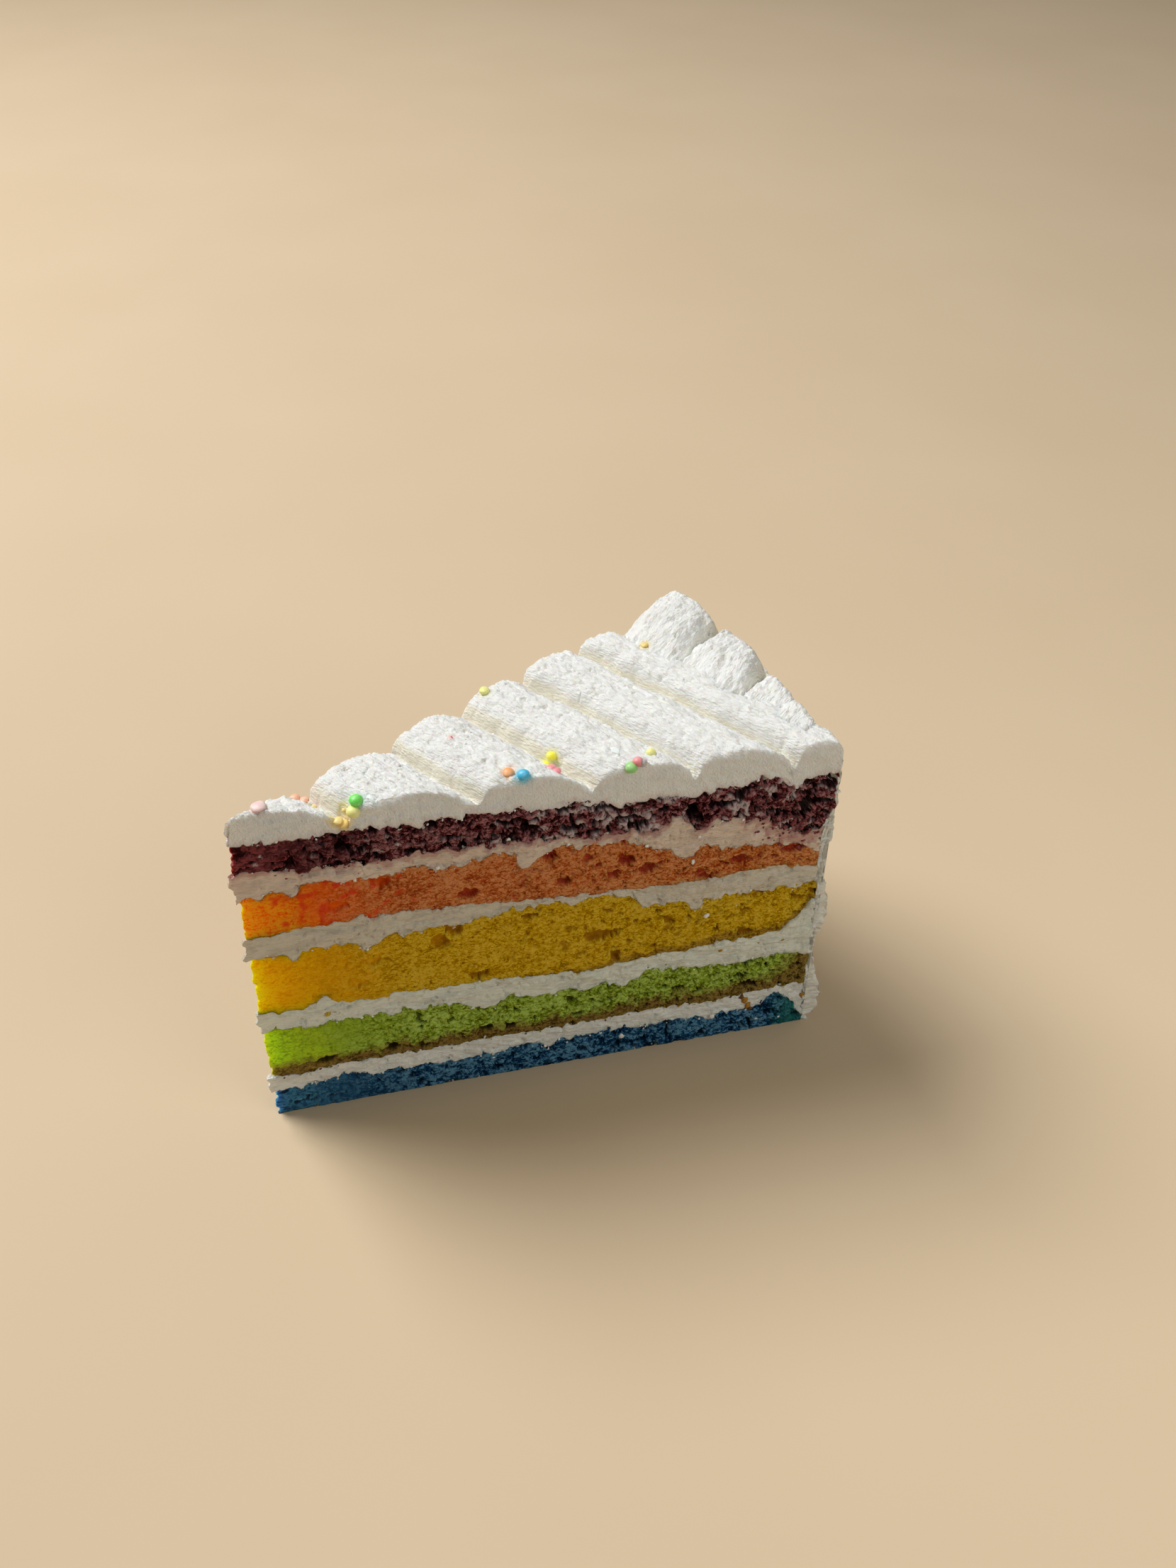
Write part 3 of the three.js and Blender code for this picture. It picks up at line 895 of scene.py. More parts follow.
DROP = 85.0  # height from which the pearls are let fall onto the cream
PEARL_COLOURS = {
    "pink": (0.84, 0.60, 0.58), "salmon": (0.92, 0.48, 0.32), "amber": (0.93, 0.66, 0.22),
    "green": (0.16, 0.80, 0.10), "light_green": (0.32, 0.66, 0.22), "yellow": (0.93, 0.84, 0.06),
    "pale_yellow": (0.84, 0.82, 0.30), "orange": (0.93, 0.42, 0.16), "blue": (0.04, 0.50, 0.80),
    "coral": (0.90, 0.30, 0.32), "grey": (0.50, 0.46, 0.46), "white": (0.86, 0.88, 0.86),
    "red": (0.80, 0.06, 0.05),
}
# Each pearl: its colour, its place in plan, its width, its height as a share of that, and then the
# colour that has run from it into the cream, how far, and how strongly.
PEARLS = (
    ("pink", -46.8, 2.2, 2.5, 0.35, (0.90, 0.70, 0.66), 2.2, 0.5),
    ("salmon", -40.0, 2.9, 1.7, 0.7, (0.94, 0.62, 0.48), 1.8, 0.6),
    ("salmon", -39.1, 3.0, 1.3, 0.6, (0.94, 0.62, 0.48), 1.6, 0.6),
    ("salmon", -38.8, 1.7, 1.6, 0.6, (0.94, 0.66, 0.50), 1.8, 0.6),
    ("amber", -37.8, 0.1, 1.0, 0.5, (0.94, 0.74, 0.50), 1.4, 0.6),
    ("amber", -35.3, -4.4, 1.7, 0.5, (0.96, 0.78, 0.30), 2.2, 0.8),
    ("amber", -34.7, -4.7, 1.9, 0.5, (0.96, 0.74, 0.25), 2.2, 0.8),
    ("amber", -33.7, -3.2, 0.8, 0.4, (0.96, 0.86, 0.40), 1.8, 0.7),
    ("pale_yellow", -32.8, -5.1, 2.3, 0.85, (0.92, 0.88, 0.52), 2.0, 0.5),
    ("green", -31.8, -4.2, 2.3, 0.85, (0.62, 0.88, 0.74), 2.4, 0.6),
    ("white", -29.5, -4.8, 1.6, 0.4, (0.80, 0.86, 0.84), 1.6, 0.4),
    ("red", -12.4, 2.6, 0.5, 0.6, (0.95, 0.62, 0.60), 0.9, 0.7),
    ("orange", -7.5, -9.8, 2.0, 0.55, (0.96, 0.66, 0.46), 2.0, 0.7),
    ("blue", -5.7, -12.0, 2.1, 0.85, (0.20, 0.68, 0.86), 2.4, 0.85),
    ("yellow", 1.2, -5.9, 1.9, 0.8, (0.94, 0.90, 0.40), 2.0, 0.7),
    ("yellow", 2.2, -6.3, 1.9, 0.8, (0.94, 0.90, 0.40), 2.0, 0.7),
    ("coral", 0.2, -10.3, 1.9, 0.5, (0.94, 0.60, 0.60), 1.9, 0.7),
    ("coral", 0.6, -11.1, 1.8, 0.5, (0.94, 0.60, 0.60), 1.9, 0.7),
    ("light_green", 11.6, -17.0, 2.2, 0.8, (0.70, 0.86, 0.66), 1.6, 0.5),
    ("coral", 12.9, -16.9, 1.9, 0.85, (0.92, 0.74, 0.72), 1.5, 0.5),
    ("grey", 13.6, -17.2, 1.7, 0.85, (0.92, 0.74, 0.72), 1.5, 0.3),
    ("pale_yellow", 16.5, -15.1, 1.7, 0.85, (0.90, 0.86, 0.60), 1.5, 0.5),
    ("pale_yellow", -4.3, 13.2, 1.9, 0.5, (0.90, 0.88, 0.56), 1.9, 0.6),
    ("white", 10.8, -12.3, 2.4, 0.15, (0.84, 0.87, 0.84), 1.5, 0.4),
    ("amber", 30.8, 12.8, 1.4, 0.5, (0.95, 0.78, 0.40), 1.8, 0.7),
)


def make_balls(name, levels, balls):
    """Lumpy balls as one piece, with the colour of each on its points. For each ball: its middle, its half
    sizes, how high and how fine its lumps are, the shift and seed that set them apart, and its colour."""
    shape = bmesh.new()
    bmesh.ops.create_icosphere(shape, subdivisions=levels, radius=1)
    ball = np.array([v.co for v in shape.verts])
    ring = np.array([[v.index for v in f.verts] for f in shape.faces])
    shape.free()
    points = [
        ball * (1 + high * layered(ball * fine + shift, seed, 2))[:, None] * half + middle
        for middle, half, (high, fine, shift, seed), _ in balls
    ]
    faces = [ring + len(ball) * number for number in range(len(balls))]
    piece = make_object(name, np.concatenate(points), [np.concatenate(faces)])
    tints = [(*colour, 1) for _, _, _, colour in balls]
    add_colours(piece, "tint", np.repeat(tints, len(ball), axis=0))
    return piece


def make_pearls(surface):
    """All the pearls as one piece, and the spots where their colour has run into the cream."""
    balls, spots = [], []
    for index, (kind, x, y, width, flatness, run, reach, strength) in enumerate(PEARLS):
        above = Vector((x, y, DROP))
        hit = surface.ray_cast(above, Vector((0, 0, -1)))[0] or surface.find_nearest(above)[0]
        half = 0.5 * width * np.array([1, 1, flatness])
        middle = np.array([hit.x, hit.y, hit.z + 0.25 * half[2]])
        lumps = (0.05 + 0.25 * (1 - flatness), 1.3, 9 * index, 950)
        balls.append((middle, half, lumps, PEARL_COLOURS[kind]))
        spots.append((middle, reach, run, strength))
    return make_balls("sugar_pearls", 3, balls), spots


# Crumbs on the front cut: radius, height, width, how tall it is for its width, and the sponge it is from.
CRUMBS = (
    (95.8, 11.6, 1.5, 1.0, "brown"), (96.6, 10.2, 1.9, 1.1, "amber"), (97.2, 8.6, 1.7, 1.3, "amber"),
    (97.8, 7.2, 1.4, 1.2, "brown"), (93.5, 12.2, 1.0, 0.8, "brown"), (109.0, 8.6, 1.2, 1.5, "amber"),
    (90.5, 27.4, 1.0, 1.1, "amber"), (98.5, 27.6, 0.9, 0.9, "amber"), (103.5, 27.6, 1.0, 0.9, "amber"),
    (13.0, 28.0, 1.1, 1.2, "yellow"), (97.5, 60.6, 1.0, 0.8, "red"), (99.8, 60.0, 1.3, 0.9, "red"),
    (101.8, 58.9, 1.0, 0.8, "red"), (103.4, 59.6, 1.4, 0.8, "red"), (105.2, 58.0, 1.2, 1.0, "red"),
    (106.6, 56.6, 1.2, 1.0, "red"), (105.8, 54.8, 1.0, 1.0, "red"), (104.2, 56.4, 0.7, 1.0, "red"),
    (15.8, 63.9, 0.8, 0.9, "red"), (9.5, 64.6, 0.5, 1.0, "red"), (22.0, 63.4, 0.5, 1.0, "red"),
)
# Bits of cream on the front cut, in the same way but for the last.
CREAM_BITS = (
    (84.0, 53.6, 0.8, 2.4), (87.2, 38.4, 1.6, 0.7), (93.3, 39.8, 0.7, 0.8), (70.4, 5.6, 1.2, 1.6),
    (89.6, 6.6, 1.5, 1.2), (44.0, 5.8, 0.7, 1.0), (111.7, 65.7, 1.6, 0.4), (99.3, 3.4, 0.9, 1.0),
    (104.3, 2.6, 0.7, 1.1), (54.6, 6.6, 0.8, 1.3), (74.8, 59.3, 0.8, 0.9), (85.0, 59.6, 0.7, 0.9),
)
CRUMB_COLOURS = {
    "brown": (0.20, 0.10, 0.03), "amber": (0.52, 0.26, 0.04), "yellow": (0.72, 0.52, 0.08),
    "green": (0.38, 0.48, 0.10), "blue": (0.03, 0.10, 0.18),
    "red": (0.30, 0.07, 0.075), "white": (0.92, 0.91, 0.87),
}

# What is strewn along the joints of the front cut: the sponges that the crumbs are from, with so many
# crumbs at each joint, and how many bits of cream there are.
STREWN_CRUMBS = {1: ("blue",), 2: ("brown", "amber"), 3: ("green",), 5: ("yellow",), 8: ("red",), 9: ("red",)}
CRUMBS_A_JOINT = 26
STREWN_CREAM = {1: 40, 2: 25, 3: 40, 5: 25, 7: 15, 8: 15, 9: 20}
CRUMBS_REACH, CREAM_REACH = 0.9, 0.8  # how far from a joint they lie
# More crumbs of the red sponge lie under it near the rim: how many, how far from its lower joint, and
# between which radii.
FALLEN = {"count": 110, "reach": 4.5, "span": (95, 109)}


def strewn(joint, colours, count, reach, seed, span=(3, 107)):
    """Small bits along a joint on the front cut, in the same form as those that are listed."""
    pick = [hashed(np.c_[np.arange(count), np.full(count, key)], seed) for key in range(5)]
    r = part_way(*span, pick[0])
    z = joints(r, np.full(count, -wedge.half))[joint] + reach * (2 * pick[1] - 1)
    width = 0.3 + 0.5 * pick[2] ** 2
    return [
        (r[n], z[n], width[n], 0.7 + 0.6 * pick[3][n], colours[int(len(colours) * pick[4][n])])
        for n in range(count)
    ]


def make_bits(name, bits, seed):
    """Crumbs or bits of cream, as one piece, where they stick to the front cut."""
    balls = []
    for index, (r, z, width, tall, kind) in enumerate(bits):
        spot = wedge.place(r, -wedge.half, z) + (0.05 * width - 0.1) * WAY_OUT["front"]
        half = 0.5 * width * np.array([1, 0.6, tall])
        balls.append((spot, half, (0.8, 1.5, 7 * index, seed), CRUMB_COLOURS[kind]))
    return make_balls(name, 1, balls)


# ---- materials


class Shading:
    """A material's node tree, with short names for the nodes used here. Places are in millimetres."""

    def __init__(self, name):
        self.material = bpy.data.materials.new(name)
        self.material.use_nodes = True
        self.tree = self.material.node_tree
        self.tree.nodes.clear()
        self.mm = self.vector_math("SCALE", self.add("TexCoord").outputs["Object"], 1000.0)

    def add(self, kind, inputs=None, **settings):
        """A node, with inputs that are linked to sockets or set to values."""
        node = self.tree.nodes.new("ShaderNode" + kind)
        for key, value in settings.items():
            setattr(node, key, value)
        for key, value in (inputs or {}).items():
            if isinstance(value, bpy.types.NodeSocket):
                self.tree.links.new(value, node.inputs[key])
            else:
                node.inputs[key].default_value = value
        return node

    def vector_math(self, operation, vector, by):
        inputs = {0: vector, "Scale" if operation == "SCALE" else 1: by}
        return self.add("VectorMath", inputs, operation=operation).outputs[0]

    def noise(self, scale, detail=3.0, roughness=0.55, vector=None, output="Fac"):
        inputs = {"Vector": vector or self.mm, "Scale": scale, "Detail": detail, "Roughness": roughness}
        return self.add("TexNoise", inputs).outputs[output]

    def cells(self, scale, vector, output="Distance"):
        return self.add("TexVoronoi", {"Vector": vector, "Scale": scale}).outputs[output]

    def x_of(self, vector):
        return self.add("SeparateXYZ", {0: vector}).outputs[0]

    def painted(self, name, output="Color"):
        """A colour that is set on the points."""
        return self.add("Attribute", attribute_name=name).outputs[output]

    def mask(self, name):
        """A number that is set on the points."""
        return self.painted(name, "Fac")

    def streaked(self, angle, scales):
        """The place, turned about the vertical and then stretched."""
        inputs = {"Vector": self.mm, "Angle": angle}
        turned = self.add("VectorRotate", inputs, rotation_type="Z_AXIS").outputs[0]
        return self.vector_math("MULTIPLY", turned, scales)

    def bent(self, scale, amount):
        """The place, pushed about by noise of a scale, so that what follows isn't regular."""
        push = self.vector_math("SUBTRACT", self.noise(scale, 2.0, 0.5, output="Color"), (0.5, 0.5, 0.5))
        return self.vector_math("ADD", self.mm, self.vector_math("SCALE", push, 2 * amount))

    def crumb_height(self, grain, vector):
        """Relief of crumbs about a grain across, finer than the mesh holds."""
        fine = self.noise(1.7 / grain, 4, 0.7, vector)
        return self.sum((fine, 1.1), (self.cells(1.2 / grain, vector), -0.5))

    def sum(self, *terms):
        """Adds up sockets, each times its number."""
        total = 0.0
        for socket, times in terms:
            inputs = {0: socket, 1: times, 2: total}
            total = self.add("Math", inputs, operation="MULTIPLY_ADD").outputs[0]
        return total

    def between(self, value, low, high, to_low=0.0, to_high=1.0):
        """Goes smoothly from to_low to to_high as the value goes from low to high."""
        inputs = {"Value": value, "From Min": low, "From Max": high, "To Min": to_low, "To Max": to_high}
        return self.add("MapRange", inputs, interpolation_type="SMOOTHSTEP").outputs["Result"]

    def ramp(self, value, *stops):
        """The colour of a value on a scale: each stop is a place on the scale and its colour."""
        node = self.add("ValToRGB", {"Fac": value})
        elements = node.color_ramp.elements
        while len(elements) < len(stops):
            elements.new(0.5)
        for element, (place, colour) in zip(elements, stops):
            element.position = place
            element.color = (*colour, 1)
        return node.outputs["Color"]

    def mix(self, share, a, b):
        """Colour a with a share of colour b in it. Each is a socket or three numbers."""
        a, b = (end if isinstance(end, bpy.types.NodeSocket) else (*end, 1) for end in (a, b))
        return self.add("Mix", {0: share, 6: a, 7: b}, data_type="RGBA").outputs[2]

    def smeared(self, body, scale, ragged, low, share, *crumb):
        """The body with other colours smeared over it, raggedly, next to the joints below and above."""
        edge = self.noise(scale, 3, 0.6)
        for side, colour in zip(("from_base", "from_top"), crumb):
            near = self.sum((edge, ragged), (self.mask(side), -1.0))
            body = self.mix(self.between(near, low, low + 0.15, 0.0, share), body, colour)
        return body

    def bump(self, height, strength, distance):
        inputs = {"Height": height, "Strength": strength, "Distance": distance * MM}
        return self.add("Bump", inputs).outputs[0]

    def finish(self, colour, normal, roughness, gloss, glow, reach, radii=(1.0, 0.6, 0.35)):
        """The surface: glow is the share of light that passes under it, up to reach millimetres."""
        inputs = {
            "Base Color": colour,
            "Normal": normal,
            "Roughness": roughness,
            "Specular IOR Level": gloss,
            "Subsurface Weight": glow,
            "Subsurface Radius": radii,
            "Subsurface Scale": reach * MM,
        }
        self.add("OutputMaterial", {0: self.add("BsdfPrincipled", inputs).outputs[0]})
        return self.material


TIP_X = cad_box[0][0] / MM
# The browned base of the sponges that have one: in its hollows, darker with painted shade, and on its
# crumbs, lighter with painted light. The others' few brown spots are like the yellow one's.
CRUSTS = {
    "sponge_green": ((0.075, 0.034, 0.007), (0.28, 0.165, 0.045)),
    "sponge_yellow": ((0.15, 0.072, 0.010), (0.40, 0.22, 0.025)),
}

# Colours of each sponge: at the thin tip, a painted glow for the light that comes through, then near it;
# then from the lips of the crumbs down to the deep creases between them, which is partly the crumb's own
# uneven tone and partly painted light and shade; inside the hollows, in painted shade; and what it is
# flecked with, which on the red one is partly a painted highlight on its raised crumbs.
SPONGE_COLOURS = {
    "sponge_blue": {
        "tip": (0.05, 0.20, 0.36), "near_tip": (0.022, 0.10, 0.22), "lip": (0.13, 0.32, 0.51),
        "light": (0.031, 0.138, 0.285), "main": (0.00495, 0.0499, 0.148),
        "dark": (0.0036, 0.0288, 0.0861), "deep": (0.00135, 0.0115, 0.0369),
        "hole": (0.002, 0.014, 0.036), "fleck_and_highlight": (0.025, 0.19, 0.17),
    },
    "sponge_green": {
        "tip": (0.52, 0.76, 0.010), "near_tip": (0.33, 0.50, 0.025), "lip": (0.487, 0.684, 0.144),
        "light": (0.344, 0.495, 0.054), "main": (0.22, 0.324, 0.0156), "dark": (0.143, 0.189, 0.0048),
        "deep": (0.101, 0.108, 0.0036), "hole": (0.026, 0.016, 0.003), "fleck_and_highlight": (0.75, 0.78, 0.45),
    },
    "sponge_yellow": {
        "tip": (1.0, 0.62, 0.001), "near_tip": (0.88, 0.40, 0.001), "lip": (0.781, 0.516, 0.045),
        "light": (0.66, 0.401, 0.004), "main": (0.539, 0.307, 0.0005), "dark": (0.419, 0.209, 0.0015),
        "deep": (0.316, 0.134, 0.002), "hole": (0.42, 0.17, 0.006), "fleck_and_highlight": (0.85, 0.80, 0.60),
    },
    "sponge_orange": {
        "tip": (1.0, 0.46, 0.0005), "near_tip": (1.0, 0.14, 0.003), "lip": (0.722, 0.296, 0.119),
        "light": (0.611, 0.183, 0.0495), "main": (0.486, 0.112, 0.0172),
        "dark": (0.396, 0.0741, 0.0132), "deep": (0.301, 0.0351, 0.00858), "hole": (0.42, 0.030, 0.014),
        "fleck_and_highlight": (0.80, 0.045, 0.012),
    },
    "sponge_red": {
        "tip": (0.24, 0.05, 0.055), "near_tip": (0.090, 0.022, 0.025), "lip": (0.38, 0.165, 0.175),
        "light": (0.155, 0.036, 0.040), "main": (0.068, 0.0085, 0.0105), "dark": (0.029, 0.0038, 0.005),
        "deep": (0.008, 0.001, 0.0012), "hole": (0.003, 0.001, 0.001), "fleck_and_highlight": (0.66, 0.55, 0.56),
    },
}
SMEAR = (0.80, 0.78, 0.68)  # cream that the knife left on the sponge

# How much lighter and darker each sponge is from place to place, and how it lets light through: the
# share, the reach in millimetres, and the part of that which each colour reaches.
SPONGE_LIGHT = {
    "sponge_blue": (2.1, 0.15, 3.0, (0.3, 0.6, 1.0)),
    "sponge_green": (1.15, 0.30, 4.0, (0.85, 1.0, 0.08)),
    "sponge_yellow": (1.35, 0.30, 4.0, (1.0, 0.85, 0.05)),
    "sponge_orange": (1.25, 0.30, 4.0, (1.0, 0.50, 0.05)),
    "sponge_red": (1.0, 0.15, 2.5, (1.0, 0.2, 0.2)),
}

# Where the colours lie on the scale of tones, from the painted shade of the deepest creases to the painted
# light on the lips of the crumbs.
TONES = {"deep": 0.24, "dark": 0.37, "main": 0.52, "light": 0.68, "lip": 0.86}
# How far in from the thin end these fade: the painted glow at the tip, the fainter painted glow near it,
# the light that comes through the sponge, and the pale holes of the sponges that have them, which take
# the painted glow.
TIP_FADES = (2, 17)
NEAR_TIP_FADES = (8, 30)
LIGHT_FADES = (3, 18)
PALE_HOLES_FADE = (16, 45)
PALE_HOLES = ("sponge_yellow", "sponge_orange")


def sponge_material(name):
    """Sponge: its colour follows the relief of its crumb, with painted light on the tops and upper edges of
    the crumbs and painted shade in the creases and hollows; near the thin end it is painted brighter, a
    painted glow for the light that comes through; and it is browned, flecked (on the red one partly with
    painted highlights) and smeared with cream where those show."""
    look = SPONGE_COLOURS[name]
    grain = CRUMB[name][0]
    patchy, share, reach, radii = SPONGE_LIGHT[name]
    s = Shading(name + "_crumb")
    at = s.bent(1.1 / grain, 0.55 * grain)
    height = s.crumb_height(grain, at)
    # Painted light: the upper edges of the crumbs, where the height falls going up, are made lighter, as if
    # lit from above.
    above = s.crumb_height(grain, s.vector_math("ADD", at, (0.0, 0.0, 0.2 * grain)))
    painted_top_light = s.sum((height, 1.0), (above, -1.0))
    # The tone is partly painted light and shade, from the height of the crumbs, their lit upper edges and the
    # raised crumbs, and partly the crumb's own uneven tone.
    tone = s.sum(
        (height, 0.55),
        (painted_top_light, 1.2),
        (s.x_of(s.cells(1.2 / grain, at, "Color")), 0.26),  # the same all over each grain
        (s.mask("rise"), 0.34),
        (s.noise(0.8, 2, 0.6), 0.55 * patchy),
        (s.noise(0.2, 3, 0.6), 0.6 * patchy),
        (1.0, 0.145 - 0.575 * patchy),
    )
    body = s.ramp(tone, *((place, look[key]) for key, place in TONES.items()))
    # Painted glow: near the thin end the colour is painted brighter, for the light that comes through the
    # sponge.
    glow = s.mix(s.between(tone, 0.35, 0.75), look["near_tip"], look["tip"])
    inward = s.sum((s.x_of(s.mm), 1.0), (1.0, -TIP_X))
    uneven = s.sum((inward, 1.0), (s.noise(0.22, 3), 14.0), (1.0, -7.0))
    near = s.mix(s.between(uneven, *TIP_FADES, 1.0, 0.0), look["near_tip"], glow)
    body = s.mix(s.between(uneven, *NEAR_TIP_FADES, 0.85, 0.0), body, near)
    # The crust follows the tone, so it takes its painted light and shade.
    crust = s.mix(s.between(tone, 0.35, 0.85), *CRUSTS.get(name, CRUSTS["sponge_yellow"]))
    body = s.mix(s.mask("crust"), body, crust)
    # Flecks of another colour; on the red sponge these are partly painted highlights.
    body = s.mix(s.mask("fleck_and_highlight"), body, look["fleck_and_highlight"])
    # Painted shade: the hollows take the darker hole colour by their depth; near the thin end of some sponges
    # they take the painted glow instead.
    hole = look["hole"]
    if name in PALE_HOLES:
        hole = s.mix(s.between(inward, *PALE_HOLES_FADE), look["near_tip"], hole)
    body = s.mix(s.between(s.mask("pit"), 0.1, 0.8, 0.0, 0.85), body, hole)
    body = s.smeared(body, 1.2, 4.0, 2.25, 0.85, SMEAR, SMEAR)
    lit = s.between(inward, *LIGHT_FADES, 1.0, share)
    return s.finish(body, s.bump(height, 0.9, 0.5 * grain), 0.9, 0.03, lit, reach, radii)


# Cream between the sponges: its colour, then the crumb of the sponge below and of the one above, which the
# knife dragged into it.
FILLING_COLOURS = {
    "cream_blue_green": ((0.97, 0.99, 0.95), (0.06, 0.13, 0.18), (0.34, 0.27, 0.12)),
    "cream_green_yellow": ((0.88, 0.91, 0.82), (0.36, 0.46, 0.12), (0.62, 0.46, 0.12)),
    "cream_yellow_orange": ((0.76, 0.70, 0.59), (0.62, 0.42, 0.06), (0.66, 0.30, 0.12)),
    "cream_orange_red": ((0.84, 0.69, 0.58), (0.64, 0.24, 0.09), (0.42, 0.11, 0.11)),
}


# How the marks in cream run: how far they are turned about the vertical, then how they are stretched.
DRAGGED = (0.0, (0.4, 0.4, 1.7))  # along the cuts, as the knife went
PULLED = (-RIDGE_ANGLE, (0.42, 1.5, 1.0))  # along the ridges, as the nozzle went
PULLED_OUT = (-RIDGE_ANGLE, (1.5, 0.42, 1.0))  # along the lobes, which point away from the last ridge


def cream_material(name, marks, dull, colour, stain, shaded, below=None):
    """Cream: dull is how dark its duller lines are, stain is what is mixed into it by the knife, and
    shaded is the colour of the painted shade on the walls of the ridges, the flanks of the lobes and in its
    pits. A filling takes up crumbs of the sponge below as well."""
    s = Shading(name)
    at = s.streaked(*marks)
    soft, fine, broad = s.noise(0.3, 3), s.noise(2.0, 4, 0.65, at), s.noise(0.45, 3, 0.6, at)
    tone = s.sum((soft, 0.5), (fine, 0.9), (broad, 1.0), (1.0, -0.66))
    body = s.ramp(tone, (0.36, tuple(dull * part for part in colour)), (0.60, colour))
    # Painted shade: the walls of the ridges and the steep front flanks of the lobes take the shaded colour,
    # and so do the pits, less strongly.
    body = s.mix(s.between(s.mask("painted_shade"), 0.0, 1.0, 0.0, 0.8), body, shaded)
    body = s.mix(s.between(s.mask("pit"), 0.2, 1.0, 0.0, 0.35), body, shaded)
    body = s.mix(s.mask("fleck_and_highlight"), body, stain)
    if below:
        body = s.smeared(body, 1.3, -4.0, -1.8, 0.8, below, stain)
    body = s.mix(s.painted("stain", "Alpha"), body, s.painted("stain"))
    height = s.sum((fine, 0.9), (s.noise(5, 3, 0.6, at), 0.35), (s.cells(2.2, at), -0.4))
    return s.finish(body, s.bump(height, 1.0, 0.45), 0.55, 0.3, 0.3, 1.2)


def bit_material(name, dark, roughness, gloss):
    """Crumbs and bits of cream, with the colour of each on its points."""
    s = Shading(name)
    fine = s.noise(3.5, 3)
    body = s.mix(s.between(fine, 0.65, 0.35, 0.0, dark), s.painted("tint"), (0.0, 0.0, 0.0))
    return s.finish(body, s.bump(fine, 0.6, 0.2), roughness, gloss, 0.2, 0.8)


def sugar_material():
    """Sugar pearls, with the colour of each on its points, paler where they have melted."""
    s = Shading("sugar_pearl")
    melted = s.between(s.noise(1.1, 2), 0.4, 0.75, 0.0, 0.25)
    body = s.mix(melted, s.painted("tint"), (0.92, 0.90, 0.84))
    return s.finish(body, s.bump(s.noise(3, 2), 0.3, 0.1), 0.4, 0.45, 0.4, 1.0)


# ---- stage

FLOOR_HALF = 3000  # half the width of the floor


def make_floor():
    """The plain pale floor."""
    corners = [(x * FLOOR_HALF, y * FLOOR_HALF, 0) for x, y in ((-1, -1), (1, -1), (1, 1), (-1, 1))]
    floor = make_object("floor", corners, [np.array([[0, 1, 2, 3]])])
    s = Shading("floor_pale")
    body = s.ramp(s.noise(0.01, 2), (0.3, (0.64, 0.50, 0.34)), (0.7, (0.66, 0.52, 0.36)))
    floor.data.materials.append(s.finish(body, s.bump(s.noise(0.5), 0.02, 0.1), 0.7, 0.2, 0.0, 1.0))


def aim(thing, place, target):
    """Puts a lamp at a place, and turns it to a target."""
    way = Vector(target) - Vector(place)
    thing.matrix_world = Matrix.Translation(place) @ way.to_track_quat("-Z", "Y").to_matrix().to_4x4()


def area_light(name, place, size, power, colour):
    """A round lamp. Its place and width are in metres."""
    data = bpy.data.lights.new(name, "AREA")
    data.shape = "DISK"
    data.size = size
    data.energy = power
    data.color = colour
    aim(added(name, data), place, (0, 0, 0.05))


def light_scene():
    """A wide soft lamp above and behind, a faint one at the front cut, and weak light from all round."""
    area_light("key", (-0.45, 0.70, 1.15), 0.8, 21, (1.0, 1.0, 0.98))
    area_light("fill", (0.15, -0.29, 0.27), 0.3, 0.40, (1.0, 0.99, 0.88))
    world = bpy.data.worlds.new("studio")
    world.use_nodes = True
    background = world.node_tree.nodes["Background"].inputs
    background["Color"].default_value = (1.0, 0.96, 0.90, 1)
    background["Strength"].default_value = 0.16
    bpy.context.scene.world = world


# The point that the camera looks at, its distance from there, its heading from +Y towards +X, how far it
# looks down, its roll, and its lens.
CAMERA_TARGET = (15.66, 6.07, 53.65)
CAMERA_DISTANCE = 244.63
CAMERA_HEADING, CAMERA_DOWN, CAMERA_ROLL = 27.685, 42.825, 0.525
LENS = 29.29


def place_camera():
    """The camera, at the photograph's viewing angle."""
    data = bpy.data.cameras.new("view")
    data.lens = LENS
    data.sensor_width = 36
    data.sensor_fit = "AUTO"
    data.clip_start = 0.01
    camera = added("view", data)
    turn = (
        Matrix.Rotation(-math.radians(CAMERA_HEADING), 4, "Z")
        @ Matrix.Rotation(math.radians(90 - CAMERA_DOWN), 4, "X")
        @ Matrix.Rotation(math.radians(CAMERA_ROLL), 4, "Z")
    )
    back = turn @ Vector((0, 0, CAMERA_DISTANCE))
    camera.matrix_world = Matrix.Translation((Vector(CAMERA_TARGET) + back.to_3d()) * MM) @ turn
    bpy.context.scene.camera = camera


# ---- the slice


def set_mask(piece, key, values):
    """Sets a number from 0 to 1 on every point."""
    add_numbers(piece, key, np.clip(values, 0, 1))


def read_mask(piece, key):
    """The number that is set on every point."""
    values = np.zeros(len(piece.data.vertices), np.float32)
    piece.data.attributes[key].data.foreach_get("value", values)
    return values.astype(float)


def measured(piece):
    """The place of each point, its radius, and how far it is from the joints below and above."""
    p = points_of(piece)
    return p, wedge.polar(*p.T)[0], read_mask(piece, "from_base"), read_mask(piece, "from_top")


